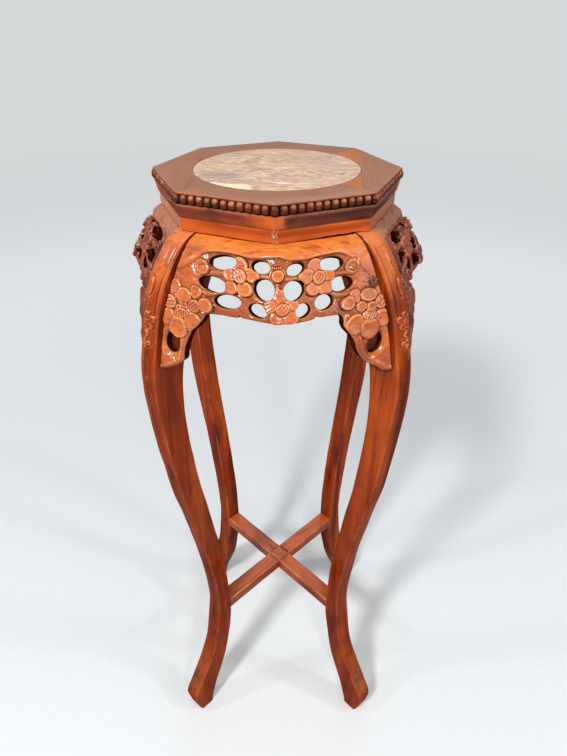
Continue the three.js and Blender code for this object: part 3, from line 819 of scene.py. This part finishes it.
def big_petals(relief, rows, bulge):
    for x, depth, wide, tall, turn, taper, level, crown, stain in rows:
        shape = (1.08 * wide, 1.08 * tall, turn, taper, 1.7 * level, bulge * crown)
        relief.petal(x, depth, *shape, tilt=0.6, stain=stain)


def carve_left_corner(relief):
    big_petals(relief, LEFT_PETALS, 1.6)
    for x, depth, wide in [(-95.5, 63.9, 4.2), (-101.5, 66.9, 3.6), (-90.1, 66.9, 3.4)]:
        relief.petal(x, depth, wide, wide * 0.9, level=0.4, crown=0.9)
    relief.petal(-98.4, 71.8, 7.8, 5, -8, level=1.0, crown=0.8, cuts=2.6, stain=0.3)
    relief.petal(-111.4, 62.5, 7.2, 7.4, level=0.8, stain=0.2)
    relief.score(-111.4, 62.5, 84, 3.4, 0.6)
    relief.petal(-84.3, 62.9, 6.8, 6.6, 35, level=1.1, crown=0.9, cuts=2.9, stain=0.2)
    relief.cut([(-112.3, 120), (-107.4, 125), (-102.4, 125)], 0.8, 0.9)
    relief.cut([(-109.4, 129), (-105.4, 127), (-100.5, 129)], 0.7, 0.6)


def lump_share(relief):
    """How much of the rough lump each place has."""
    x, depth, half = LUMP
    return ease(half - np.hypot(*relief.local(x, depth)), 0, 3)


def carve_right_corner(relief):
    # The right corner's petals darken more than the left's, a painted shade; the lump's dark mottling is its
    # own.
    big_petals(relief, RIGHT_PETALS, 1.5)
    relief.petal(98.7, 72.8, 8.2, 5.4, 6, level=1.1, crown=0.8, cuts=2.7, stain=0.4)
    relief.petal(100.3, 64.9, 5.6, 5.3, level=1.1, crown=1.1, stain=0.5)
    relief.petal(89.4, 63.2, 5.8, 5.4, 40, level=1.0, crown=0.9, cuts=2.6, stain=0.5)
    relief.petal(110.9, 61.6, 7, 7.4, level=0.8, stain=0.35)
    for turn in (50, -40):
        relief.score(110.9, 61.6, turn, 4.4, 0.4)
    rough = lump_share(relief)
    relief.stain = np.maximum(relief.stain, rough)
    relief.pale *= 1 - rough
    relief.height += rough * (2 + ripple(relief.across, relief.along, 9, 3, 1.0))
    relief.cut([(94.5, 114), (99.5, 120), (107.5, 125)], 0.9, 1.0)


def opening_distance(relief, opening):
    """Distance outside an opening, negative within it."""
    x, depth, wide, tall, turn = opening
    return oval_distance(*relief.local(x, depth, turn), wide, tall)


def carve_apron(relief, arch, seed):
    """Sinks the ground, carves what stands on it, and darkens the sunk ground with painted shade, and the
    tips.
    """
    across, along = relief.across, relief.along
    beside = np.abs(across)
    line = smooth_line([(x, down(depth)) for x, depth in BAND_EDGE])(relief.flip * across)
    lattice = ease(along, line - 0.6, line + 1.6)
    spandrel = ease(beside, *CORNER_FROM) * ease(along, *map(down, CORNER_UNDER))
    ends = ease(beside, *BAND_ENDS)
    relief.height -= GROUND * (lattice * (1 - 0.7 * spandrel) * (1 - 0.8 * ends * (1 - spandrel)))
    deepest, reach = DISH
    for opening in OPENINGS[-2:]:
        relief.height -= deepest * (1 - ease(opening_distance(relief, opening), 0, reach))
    rise, inside, half = RIM
    relief.height += rise * np.exp(-(((arch * spandrel - inside) / half) ** 2))
    relief.height += ripple(across, along, seed + 2, 6, 0.14) * lattice
    carve_middle(relief)
    carve_left_corner(relief)
    carve_right_corner(relief)
    relief.height += ripple(across, along, seed, 12, 0.14) + ripple(across, along, seed + 1, 45, 0.35)
    # Painted shade on the sunk ground, lighter in the corners, at the band's ends and on the petals.
    ground = lattice * (0.85 - 0.6 * np.maximum(spandrel, ends)) * (1 - relief.pale)
    tips = 0.7 * ease(along, *map(down, DARK_TIPS))
    relief.stain = np.maximum(np.maximum(relief.stain, ground), tips)


def arch_distance(relief):
    """Distance inside the apron's lower outline."""
    edge = smooth_path([(x, down(depth)) for x, depth in ARCH_EDGE], 2.5)
    closed = np.vstack([edge, FAR_BELOW])
    return outline_distance(relief.flip * relief.across, relief.along, closed)


def apron_points(across, along, out, behind=0):
    """Points a distance outside an apron's face and level behind it, kept clear of the legs beside it."""
    depth = depth_at(along)
    bend = np.hypot(across, CREASE)
    lean = np.interp(depth, DEPTHS, LEANS)
    normal = np.stack([SIDE_SLOPE * across / bend, -np.ones_like(bend), lean], axis=-1)
    normal /= np.linalg.norm(normal, axis=-1, keepdims=True)
    face = np.stack([across, SIDE_SLOPE * bend - shoulder_radius(depth), WAIST_BOTTOM - depth], axis=-1)
    points = face + normal * np.asarray(out)[..., None]
    points[..., 1] += np.asarray(behind)
    near = 6.0
    beyond = np.maximum((np.abs(points[..., 0]) + points[..., 1]) / sqrt(2) + SEAM + near, 0)
    shift = beyond**2 / (4 * near)
    points[..., 0] -= np.sign(across) * shift
    points[..., 1] -= SIDE_SLOPE * shift
    return points


def rounded(inside, radius):
    """How far an edge falls away within a radius of it."""
    return radius * (1 - np.clip(inside, -2, radius) / radius) ** 2


def apron(name, turn, flip, seed, material):
    shown = turn == 0
    step = FINE_STEP if shown else PLAIN_STEP
    lengths = np.arange(-2, down(SHOULDER_LINE[-1][0]) + 4, step)
    across, along = np.meshgrid(np.arange(-CHART_HALF, CHART_HALF + step, step), lengths)
    relief = Relief(across, along, flip, down)
    arch = arch_distance(relief)
    carve_apron(relief, arch, seed)
    for opening in OPENINGS:
        arch = np.minimum(arch, opening_distance(relief, opening))
    y = SIDE_SLOPE * np.hypot(across, CREASE) - shoulder_radius(depth_at(along))
    seam = -(np.abs(across) + y) / sqrt(2) - SEAM
    top = along - JOINT_GAP
    fall = rounded(arch, EDGE_ROUND) + rounded(seam, SEAM_ROUND) + rounded(top, TOP_ROUND)

    # Painted shade in the carving's hollows, with the bark's own dark mottling, and lighter edges from wear
    # together with a painted highlight along the rims of the openings and the outline.
    hollow, edge = hollows_and_edges(relief.height, step)
    bark = lump_share(relief)
    hollow = np.maximum(hollow, bark * ease(ripple(across, along, 9, 2.6, 1), -2.4, 1.2))
    edge = np.maximum(edge * (1 - bark), 0.4 * ease(-arch, -2.4, -0.6))
    smear = sum(
        share * np.exp(-(((flip * across - x) / reach) ** 2 + (along / reach) ** 2))
        for x, reach, share in GLUE_SMEARS
    )
    glue = smear * shown * ease(ripple(across, along, 3, 3, 1), -0.2, 0.6)
    # The petal faces take the painted sheen of the glow layer.
    looks = np.stack([hollow, edge, relief.stain, glue, 0.7 * relief.pale], axis=-1)

    square = ease(along, *SQUARED)
    begin, end, beside = THINNED
    thin = ease(along, *begin) * (1 - ease(along, *map(down, end))) * (np.abs(across) < beside)
    depth = APRON_DEPTH - LATTICE_THINNED * thin * (1 - ease(arch, 0.5, 6))
    front = np.concatenate([apron_points(across, along, relief.height - fall), looks], axis=-1)
    back = apron_points(across, along, -depth * square, depth * (1 - square))
    back = np.concatenate([back, np.broadcast_to([0.55, 0, 0, 0, 0], looks.shape)], axis=-1)
    inside = np.minimum(np.minimum(arch, seam), top)
    values, faces, raw = carved_skin(inside, front, back, WALL_ROWS)
    layers = dict(zip(("hollow", "edge", "stain", "glue", "glow"), values[:, 3:].T))
    add_mesh(name, values[:, :3], faces, material, "apron_wood", turn, 62, raw=raw, **layers)


# Legs. Places on the outer face are the distance beside its ridge and the height.

def leg_line(foot, knee, sag):
    ankle, calf = foot[-1], knee[0]
    shank = ((ankle[0] + calf[0]) / 2, (ankle[1] + calf[1]) / 2 - sag)
    return smooth_line([*foot, shank, *knee])


def under_waist(points):
    return [(WAIST_BOTTOM - depth, radius) for depth, radius in points]


leg_proud = smooth_line(PROUD_LINE)
PROUD_SHOULDER = [(depth, radius + float(leg_proud(depth))) for depth, radius in SHOULDER_LINE]
leg_outer = leg_line(OUTER_FOOT, under_waist(OUTER_KNEE + PROUD_SHOULDER), OUTER_SAG)
leg_inner = leg_line(INNER_FOOT, under_waist(INNER_KNEE), INNER_SAG)


def carve_leg(relief):
    """The trail down a leg's shoulder: a bud, its stems, a blossom and curls below it."""
    relief.cut([(0.5, 847), (2.5, 840), (4.5, 833)], 0.7, 0.6)
    relief.petal(2.2, 824, 4.4, 9.5, 8, 0.3, 0.1, 0.8)
    for side in (-relief.flip, relief.flip):
        relief.cut([(side * 2.2, 814), (side * 2.0 - relief.flip * 0.6, 806), (side * 2.6, 798)], 0.6, 0.5)
    for x, height in [(-6.2, 790.5), (0.5, 795), (6.6, 790), (4.4, 783.2), (-3.8, 783)]:
        relief.petal(x, height, 4.6, 4.4, level=0.1, crown=0.7)
    relief.petal(0, 788.4, 3.4, 3.2, 30, level=0.6, crown=0.6, cuts=2.2)
    relief.stroke([(0, 778), (-3, 773.5), (2.5, 769)], 1.5, 0.1, 0.6, 0.5)
    for x, height in [(-4.6, 764), (1.5, 767), (5.6, 763), (0.6, 760)]:
        relief.petal(x, height, 3.2, 3.0, level=0.1, crown=0.6, groove=0.5)
    relief.stroke([(2, 756), (4, 751), (1, 747)], 1.4, 0.1, 0.5, 0.5)
    relief.petal(3.2, 744.5, 3.4, 2.8, level=0.0, crown=0.6, groove=0.5)
    relief.cut([(4.5, 741), (5.5, 735), (5.0, 728)], 0.8, 0.9)
    relief.petal(-2, 719, 3.0, 4.4, 14, 0.2, -0.1, 0.5, groove=0.4)
    relief.cut([(-3, 690), (1, 684), (3, 677)], 0.8, 0.5)


FACE, OUTER_EDGE, FLANK, INNER_EDGE, BACK = range(5)  # what a column of a leg's skin lies on
LEG_LEVELS = [(0, 60, 21), (60, 670, 103), (670, LEG_TOP, 170)]  # from and to a height, and levels between
BORDER = ((772, 800), (858, 868))  # heights between which the line beside the trail begins and ends
BORDER_RIDGE, BORDER_GROOVE = (11.6, 1.1), (9.2, 1.0)  # its place beside the leg's ridge, and half width
TRAIL_FADE = 1.6  # the carving runs out within this of the outer edges
SHADED = (745, 790)  # heights between which painted shade on the flanks begins and is full


def leg_section(heights, outer, inner):
    """Distance beside the ridge and from the axis for each height and column of a leg's skin, and what each
    column lies on."""
    faded = ease(WAIST_BOTTOM - heights, *RIDGE_FADE)
    drop = SIDE_SLOPE * LEG_HALF * (1 - faded) + FLAT_RIDGE * faded

    def ridge_radius(t):
        share = (np.hypot(t, RIDGE_SOFT) - RIDGE_SOFT) / (hypot(LEG_HALF, RIDGE_SOFT) - RIDGE_SOFT)
        return outer[:, None] - drop[:, None] * share

    flat = LEG_HALF - LEG_ROUND
    face = np.linspace(0, flat, 12)
    turns = np.linspace(0, pi / 2, 6)[1:-1]
    inner_turns = np.linspace(pi / 2, pi, 5)[1:-1]
    down_flank = np.linspace(0, 1, 7)
    low = ridge_radius(np.array([LEG_HALF - LEG_ROUND / 2])) - LEG_ROUND
    high = inner[:, None] + LEG_ROUND
    parts = {
        FACE: (face, ridge_radius(face)),
        OUTER_EDGE: (flat + LEG_ROUND * np.sin(turns), low + LEG_ROUND * np.cos(turns)),
        FLANK: (np.full(7, LEG_HALF), low * (1 - down_flank) + high * down_flank),
        INNER_EDGE: (flat + LEG_ROUND * np.sin(inner_turns), high + LEG_ROUND * np.cos(inner_turns)),
        BACK: (np.array([flat, flat / 2, 0]), inner[:, None] * np.ones(3)),
    }
    kind = np.concatenate([np.full(len(beside), part) for part, (beside, _) in parts.items()])
    t = np.concatenate([beside for beside, _ in parts.values()]) * np.ones((len(heights), 1))
    r = np.hstack([radius for _, radius in parts.values()])
    halves = ((-1, t), (1, r), (1, kind))
    return [np.hstack([sign * half[..., ::-1], half[..., 1:-1]]) for sign, half in halves]


def leg(name, turn, flip, seed):
    heights = np.concatenate([[0]] + [np.linspace(*levels)[1:] for levels in LEG_LEVELS])
    outer, inner = leg_outer(heights), leg_inner(heights)
    t, r, kind = leg_section(heights, outer, inner)
    z = heights[:, None] * np.ones_like(t)
    beside = np.abs(t)

    relief = Relief(t, z, flip)
    shoulder = ease(z, *BORDER[0]) * (1 - ease(z, *BORDER[1]))
    rail, groove = (np.exp(-(((beside - x) / half) ** 2)) for x, half in (BORDER_RIDGE, BORDER_GROOVE))
    relief.height += 0.4 * (rail - 0.7 * groove) * shoulder
    carve_leg(relief)
    outward = kind <= OUTER_EDGE
    fade = np.clip((LEG_HALF - beside) / TRAIL_FADE, 0, 1)
    height = np.where(outward, TRAIL_DEPTH * relief.height * fade, 0)
    # Painted shade in the trail's hollows and on the flanks below the aprons; the edges are lightened as wear
    # with a painted highlight.
    hollow, edge = hollows_and_edges(height)
    edge = np.maximum(edge, np.where(np.isin(kind, (OUTER_EDGE, INNER_EDGE)), 0.35, 0))
    hollow = np.maximum(hollow, np.where(kind == FLANK, 0.5 * ease(z, *SHADED), 0))

    height = height + ripple(t * 3, z, seed, 60, 0.35) * (z < WAIST_BOTTOM - 8)
    steep = np.gradient(outer, heights)[:, None]
    length = np.hypot(1, steep)
    sideways = np.where(kind == FLANK, np.sign(t), 0.0)
    inward = np.where(kind >= INNER_EDGE, -1.0, 1.0)
    radial = np.where(kind == FLANK, 0.0, inward / length)
    lift = np.where(outward, -steep / length, 0.0)
    level = np.clip(z + lift * height, 0, LEG_TOP)
    skin = loft(np.stack([r + radial * height, t + sideways * height, level], axis=-1))
    (near, beyond), half, tall = TENON
    plan = np.array([(near, -half), (beyond, -half), (beyond, half), (near, half)])
    levels = (WAIST_BOTTOM - 1, WAIST_BOTTOM + tall)
    tenon = loft([np.column_stack([plan, np.full(4, level)]) for level in levels])
    add_mesh(name, *joined([skin, tenon]), leg_wood, "leg_wood", turn, 50, hollow=hollow, edge=edge)


# Top

def cushion(centre, out, up, along, halves, power):
    """A squarish ball with its poles along one direction."""
    rows, columns = 9, 16
    polar = np.linspace(-pi / 2, pi / 2, rows + 2)[1:-1]
    round_ = np.linspace(0, 2 * pi, columns, endpoint=False)

    def bent(value):
        return np.sign(value) * np.abs(value) ** (2 / power)

    p, q = np.meshgrid(polar, round_, indexing="ij")
    a = bent(np.cos(p)) * bent(np.cos(q)) * halves[0]
    b = bent(np.cos(p)) * bent(np.sin(q)) * halves[1]
    c = bent(np.sin(p)) * halves[2]
    grid = centre + a[..., None] * out + b[..., None] * up + c[..., None] * along
    return loft(grid)


def octagon_reach(radius, angle):
    """Distance of an octagon's edge from the axis, at an angle from its front corner."""
    apothem = radius * FLAT_SHARE
    return apothem / np.cos(np.abs(angle) - pi / 8)


def moulding(rim, rebate, skirt_top, lip):
    """The section of a member of the top: share of the way from the circle to the octagon, radius there,
    height, painted shade, and edge, lightened as wear and painted highlight."""
    return [
        (0, rim, rebate, 1, 0), (0, rim, TOP - 0.5, 0.6, 0), (0, rim + 0.4, TOP - 0.1, 0.2, 0.5),
        (0, rim + 1.2, TOP, 0, 0.1), (0.5, (rim + TOP_CORNER * FLAT_SHARE) / 2, TOP, 0, 0),
        (1, TOP_CORNER - 1.6, TOP, 0, 0.1), (1, TOP_CORNER - 0.6, TOP - 0.2, 0, 0.5),
        (1, TOP_CORNER, TOP - 0.8, 0.2, 0.2), (1, TOP_CORNER, lip + 0.3, 0.4, 0.1),
        (1, TOP_CORNER - 0.5, lip, 0.8, 0), (1, GROOVE_CORNER - 1.5, lip - 0.3, 1, 0),
        (1, GROOVE_CORNER - 1.5, skirt_top + 0.5, 1, 0), (1, SKIRT_TOP_CORNER - 0.6, skirt_top, 0.8, 0),
        (1, SKIRT_TOP_CORNER, skirt_top - 0.7, 0.1, 0.7), (1, SKIRT_TOP_CORNER - 0.6, skirt_top - 4, 0, 0),
        (1, SKIRT_TOP_CORNER - 1.6, skirt_top - 8, 0, 0),
        (1, SKIRT_BOTTOM_CORNER + 0.4, WAIST_TOP + 1, 0, 0.3),
        (1, SKIRT_BOTTOM_CORNER - 0.6, WAIST_TOP, 0.3, 0.5), (0, BOARD_RADIUS, WAIST_TOP, 0.3, 0),
        (0, BOARD_RADIUS, rebate, 0.8, 0),
    ]


def bead(k, level, chance):
    """The bead at place k beside a member's corner: points, faces, painted shade and painted glint."""
    reach = pi / 4
    side = copysign(pi / 8, k) if k else 0
    if abs(k) == BEADS_PER_SIDE:
        side = copysign(reach, k)
    share = abs(k) / BEADS_PER_SIDE
    x = copysign(BEAD_CORNER * sin(reach) * share, k)
    y = -BEAD_CORNER * (1 - share) - BEAD_CORNER * cos(reach) * share
    out = np.array([sin(side), -cos(side), 0])
    up = np.array([0, 0, 1.0])
    along = np.array([cos(side), sin(side), 0])
    sizes = np.array(BEAD_HALF) * chance.uniform(0.95, 1.04, 3)
    nudge = chance.uniform(-0.25, 0.25, 3)
    centre = np.array([x, y, level]) + nudge[0] * out + nudge[1] * up + nudge[2] * along
    points, faces = cushion(centre, out, up, along, sizes, BEAD_POWER * chance.uniform(0.9, 1.15))
    # Nothing passes the mitres on both sides
    for across in (-cos(reach), cos(reach)):
        past = np.maximum(points[:, 0] * across + points[:, 1] * sin(reach) + JOINT_GAP / 2, 0)
        points[:, 0] -= past * across
        points[:, 1] -= past * sin(reach)
    outward = (points - centre) @ out / sizes[0]
    upward = (points - centre)[:, 2] / sizes[1]
    # Painted shade on each bead's lower parts and those that do not face out, and a painted glint on its
    # upper outer face.
    hollow = np.clip(1.15 - 0.62 * outward - 0.4 * upward, 0, 1)
    edge = chance.uniform(0.3, 1.4) * np.clip((0.7 * outward + 0.6 * upward - 0.82) / 0.1, 0, 1)
    return points, faces, hollow, edge


SHINE = ((-34, -4), (7, 12))  # beside the front corner, where the skirt's painted highlight begins and ends
SKIRT_SHADE = (8, 14)  # and where its painted shade turns heavy
CORNER_WEAR_AND_HIGHLIGHT = 5  # reach of the wear and painted highlight beside the skirt's corners


def frame_member(name, turn, flip, seed, material):
    reach = pi / 4 - JOINT_GAP / 2 / TOP_CORNER
    angles = np.linspace(-reach, reach, 61)
    skirt_top, lip = WAIST_TOP + SKIRT_HEIGHT, TOP - LIP_HEIGHT
    section = moulding(MARBLE_RADIUS + JOINT_GAP, MARBLE_LOW[2], skirt_top, lip)
    circle = np.ones_like(angles)
    rings = []
    for share, radius, height, _, _ in section:
        distance = octagon_reach(radius, angles) if share == 1 else circle * radius
        x, y = distance * np.sin(angles), -distance * np.cos(angles)
        rings.append(np.stack([x, y, circle * height], axis=-1))
    skin = loft(np.stack(rings, axis=1))
    skirt = np.array([WAIST_TOP + 1 <= row[2] < skirt_top for row in section])
    # The skirt takes painted shade, heavier past one side of the front corner, a painted highlight beside
    # that corner, and wear with a painted highlight at its corners.
    corner = np.exp(-((angles * TOP_CORNER / CORNER_WEAR_AND_HIGHLIGHT) ** 2))
    edge = np.array([row[4] for row in section]) + 0.6 * corner[:, None] * skirt
    place = angles * TOP_CORNER * flip
    shine = ease(place, *SHINE[0]) * (1 - ease(place, *SHINE[1]))
    glow = np.outer(0.85 * shine, skirt)
    shade = np.outer(0.1 + 0.65 * ease(place, *SKIRT_SHADE), skirt)
    hollow = np.maximum(shade * (1 - glow), [row[3] for row in section])
    chance = np.random.default_rng(seed)
    row = [bead(k, (skirt_top + lip) / 2, chance) for k in range(-BEADS_PER_SIDE, BEADS_PER_SIDE + 1)]
    points, faces = joined([skin, *(one[:2] for one in row)])
    hollow = np.concatenate([hollow.ravel(), *(one[2] for one in row)])
    edge = np.concatenate([edge.ravel(), *(one[3] for one in row)])
    add_mesh(name, points, faces, material, "top_wood", turn, 32, hollow=hollow, edge=edge, glow=glow)


def marble_disc():
    steps = 180
    angles = np.linspace(0, 2 * pi, steps, endpoint=False)
    outline = np.column_stack([np.cos(angles), np.sin(angles)])
    profile = [
        (MARBLE_RADIUS, MARBLE_LOW[2]), (MARBLE_RADIUS, TOP - 0.7), (MARBLE_RADIUS - 0.2, TOP - 0.25),
        (MARBLE_RADIUS - 0.7, TOP), (MARBLE_RADIUS * 0.97, TOP),
    ]
    rings = [np.column_stack([outline * radius, np.full(steps, height)]) for radius, height in profile]
    add_mesh("marble_disc", *loft(rings), marble_stone, "marble", 0, 30, node="marble_inlay")


# Waist and stretcher

def bar_section(low, high, back, front, radius, tops):
    """A bar's section as (out, up) points, with round edges and extra points along its front and top, and how
    much of an edge each point is, lightened as wear and painted highlight."""
    arcs = [(front, low), (front, high), (back, high), (back, low)]
    points, corners = [], []
    for k, ((y, z), extra) in enumerate(zip(arcs, (6, tops, 0, 0))):
        out = y - copysign(radius, y - (back + front) / 2)
        up = z - copysign(radius, z - (low + high) / 2)
        turn = np.linspace(0, pi / 2, 5) + (k - 1) * pi / 2
        points += [(out + radius * cos(a), up + radius * sin(a)) for a in turn]
        start, following = points[-1], arcs[(k + 1) % 4]
        end = (start[0], following[1] - radius) if k == 0 else (following[0] + radius, start[1])
        shares = np.linspace(0, 1, extra + 2)[1:-1]
        points += [(start[0] + (end[0] - start[0]) * s, start[1] + (end[1] - start[1]) * s) for s in shares]
        corners += [0.3, 0.8, 1, 0.8, 0.3] + [0] * extra
    return np.array(points), np.array(corners)


GLUED_END = (48.5, 53)  # beside a waist board's middle, where the glue at its mitre begins and is full
CRACK = ((-0.35, 0.1), (0.78, 0.86))  # shares of the half length where a gap under a board begins and ends
LOW_EDGE = 1.6  # height of the dark line along a waist board's lower edge
WAIST_ROUND = 0.9


def waist_board(name, turn, seed, glued, material):
    """A board of the waist. glued is the end with glue in its mitre, 1 or -1, or 0 for neither."""
    apothem, back = WAIST_CORNER * FLAT_SHARE, WAIST_BACK * FLAT_SHARE
    section, corners = bar_section(WAIST_BOTTOM, WAIST_TOP - JOINT_GAP, back, apothem, WAIST_ROUND, 0)
    stations = np.linspace(-1, 1, 73)
    half = section[:, 0] * SIDE_SLOPE - JOINT_GAP / 2
    rings = [np.column_stack([share * half, -section[:, 0], section[:, 1]]) for share in stations]
    rings = np.array(rings)[:, ::-1]
    x, y, z = np.moveaxis(rings, -1, 0)
    wave = ripple(x, z * 2, seed, 30, 0.12)
    glue = np.zeros(x.shape)
    if glued:
        end = ease(x * glued, *GLUED_END)
        glue = end * ease(ripple(x, z, seed + 3, 4, 1) + 0.6, 0.2, 1.0)
    if glued < 0:
        share = stations[:, None] * np.ones(x.shape)
        crack = ease(share, *CRACK[0]) * (1 - ease(share, *CRACK[1]))
        crack = crack * (1.0 + ripple(x, z, seed + 5, 16, 0.3))
        z += np.where(z < WAIST_BOTTOM + 1, np.maximum(crack, 0) * 1.1, 0)
    y -= np.where(y < -apothem + 1, wave + 0.9 * glue, 0)
    low = np.clip((WAIST_BOTTOM + LOW_EDGE - z) / LOW_EDGE, 0, 1)
    if not glued:
        glue = 0.8 * low * ease(ripple(x, z, seed + 4, 12, 1), -0.6, 0.4)
    edge = np.tile(corners[::-1] * 0.8, len(stations))
    add_mesh(name, *loft(rings), material, "waist_wood", turn, 40, hollow=low * 0.7, edge=edge, glue=glue)


FINE_UNTIL = 34  # closer rings up to this distance from the crossing
SCRATCHES = 16
SCRATCHED = (22, 9)  # how far from the crossing they lie, along and across


def stretcher(name, turn, over, seed):
    middle = (STRETCHER_TOP + STRETCHER_BOTTOM) / 2
    section, corners = bar_section(
        STRETCHER_BOTTOM, STRETCHER_TOP, -STRETCHER_HALF, STRETCHER_HALF, STRETCHER_ROUND, 19,
    )
    notch = STRETCHER_HALF + JOINT_GAP
    coarse = np.linspace(FINE_UNTIL, STRETCHER_END, 16)
    arm = np.concatenate([np.linspace(notch, FINE_UNTIL, 22), coarse[1:]])
    lap = np.linspace(-notch, notch, 27)
    stations = np.concatenate([-arm[::-1], lap, arm])
    lapped = np.repeat([False, True, False], [len(arm), len(lap), len(arm)])[:, None]
    rings = np.array([np.column_stack([np.full(len(section), x), section]) for x in stations])
    x, y, z = np.moveaxis(rings, -1, 0)
    chance = np.random.default_rng(seed)
    relief = Relief(x, y)
    for _ in range(SCRATCHES):
        centre = np.array([chance.uniform(-reach, reach) for reach in SCRATCHED])
        angle, reach = chance.uniform(-1.2, 1.2), chance.uniform(2, 5)
        step = np.array([cos(angle), sin(angle)]) * reach
        relief.cut([centre - step, centre + step], 0.7, chance.uniform(0.2, 0.55))
    for place in (-notch - 0.8, notch + 0.8):
        relief.cut([(place, -11), (place + 0.6, 0), (place, 11)], 0.8, 0.6)
    on_top = z > STRETCHER_TOP - 0.5
    marks = np.where(on_top, relief.height, 0)
    wave = ripple(x, y * 2, seed + 1, 50, 0.25)
    z += marks + np.where(on_top, wave, 0)
    y += ripple(x, z, seed + 2, 70, 0.3) * (np.abs(x) > notch + 2)
    cut = np.maximum(z, middle + 0.15) if over else np.minimum(z, middle - 0.15)
    rings[..., 2] = np.where(lapped, cut, z)
    hollow, edge = np.clip(-marks / 0.5, 0, 1), np.tile(corners, len(stations))
    add_mesh(name, *loft(rings), stretcher_wood, "stretcher_wood", turn, 40, hollow=hollow, edge=edge)


# The stand

for k, face in enumerate(("front", "right", "back", "left")):
    quarter = 90 * k
    flip = 1 if k % 2 == 0 else -1
    shown = face == "front"
    apron("apron_" + face, quarter, flip, 11 + 7 * k, apron_wood if shown else shaded_side_wood)
    frame_member("top_frame_" + face, quarter, flip, 31 + k, pale_top_wood if face == "right" else top_wood)
    band = waist_wood if shown else sheen_waist_wood
    waist_board(f"waist_{face}_right", quarter + 22.5, 41 + k, -1 if shown else 0, band)
    waist_board(f"waist_{face}_left", quarter - 22.5, 51 + k, 1 if shown else 0, band)
    frame["nodes"]["glue_block_" + face].data.materials[0] = hidden_wood
for k, corner in enumerate(("front_right", "back_right", "back_left", "front_left")):
    leg("leg_" + corner, 90 * k - 45, 1 if k % 2 == 0 else -1, 61 + k)
stretcher("stretcher_over", -45, True, 71)
stretcher("stretcher_under", 45, False, 75)
marble_disc()
frame["nodes"]["marble_support_board"].data.materials[0] = hidden_wood


# Floor, light and camera

FLOOR_REACH = 6  # metres
FLOOR_GLOW = (0.12, 0.5)  # near and far, makes up for the lamps' fall-off, for seen rays only
BACKDROP = rgb(214, 217, 218)


def seen_plainly(tree):
    """1 where the camera, a reflection or a glass looks straight at something, otherwise 0."""
    path = tree.add("LightPath", {}).outputs
    seen = tree.math("MAXIMUM", path["Is Camera Ray"], path["Is Glossy Ray"])
    return tree.math("MAXIMUM", seen, path["Is Transmission Ray"])


def floor():
    """A pale floor that keeps the stand's shadow and fades into the backdrop far from it."""
    tree = Tree("floor")
    place, seen = tree.place(), seen_plainly(tree)
    speckle = tree.ramp(tree.noise(place, 90, 2, 0.5), (0.3, (228, 231, 232)), (0.7, (230, 233, 234)))
    share = tree.math("DIVIDE", tree.length(place), FLOOR_REACH)
    glow = tree.ramp(share, (0.05, FLOOR_GLOW[0]), (0.4, FLOOR_GLOW[1]))
    material = tree.surface({
        "Base Color": tree.mix(seen, (150, 150, 150), speckle), "Roughness": 0.9, "Specular IOR Level": 0.1,
        "Emission Color": BACKDROP, "Emission Strength": tree.times(seen, glow),
    })
    far = tree.ramp(share, (0.25, 0.0), (0.95, 1.0))
    clear = tree.add("BsdfTransparent", {}).outputs[0]
    mixed = tree.add("MixShader", {0: far, 1: tree.nodes["Principled BSDF"].outputs[0], 2: clear})
    tree.feed(tree.nodes["Material Output"], {"Surface": mixed.outputs[0]})
    mesh = bpy.data.meshes.new("floor")
    corners = [(-1, -1), (1, -1), (1, 1), (-1, 1)]
    mesh.from_pydata([(x * FLOOR_REACH, y * FLOOR_REACH, 0) for x, y in corners], [], [(0, 1, 2, 3)])
    mesh.materials.append(material)
    placed("floor", mesh)


def lamp(name, place, target, size, watts):
    data = bpy.data.lights.new(name, "AREA")
    data.shape, data.size, data.energy = "DISK", size, watts
    light = placed(name, data)
    light.location = place
    light.rotation_euler = (Vector(target) - Vector(place)).to_track_quat("-Z", "Y").to_euler()


def camera():
    """The photograph's view: place in metres, pitch, turn and roll in radians, and focal length in pixels."""
    focal, height, sensor = 564.56, 756, 36
    pitch, turn, roll = 0.5905, 0.0055, 0.0017
    data = bpy.data.cameras.new("camera")
    data.sensor_width = sensor
    data.lens = focal / height * sensor
    view = placed("camera", data)
    facing = Matrix.Rotation(turn, 4, "Z") @ Matrix.Rotation(pi / 2 - pitch, 4, "X")
    facing = facing @ Matrix.Rotation(roll, 4, "Z")
    view.matrix_world = Matrix.Translation((0.01138, -0.6745, 1.074)) @ facing
    bpy.context.scene.camera = view


def world():
    """Soft even light from all round, and a plain backdrop for what looks straight at it."""
    tree = Tree("world", bpy.data.worlds)
    lit = tree.nodes["Background"]
    tree.feed(lit, {"Color": rgb(236, 240, 244), "Strength": 0.32})
    shown = tree.add("Background", {"Color": BACKDROP})
    mixed = tree.add("MixShader", {0: seen_plainly(tree), 1: lit.outputs[0], 2: shown.outputs[0]})
    tree.feed(tree.nodes["World Output"], {"Surface": mixed.outputs[0]})
    bpy.context.scene.world = tree.owner


floor()
lamp("key", (-0.85, -1.5, 2.25), (0, 0, 0.65), 0.34, 42)
lamp("fill", (1.5, -0.9, 1.5), (0, 0, 0.5), 1.2, 7)
lamp("back", (0.3, 2.0, 2.4), (0, 0, 0.6), 1.6, 7)
for name, place in (("left", (-1.3, -0.35, 1.75)), ("right", (1.3, -0.4, 1.7)), ("low", (0.35, -1.5, 1.35))):
    lamp("glint_" + name, place, (0, 0, 0.75), 0.14, 4.5)
world()
camera()
bpy.context.scene.view_settings.view_transform = "Standard"
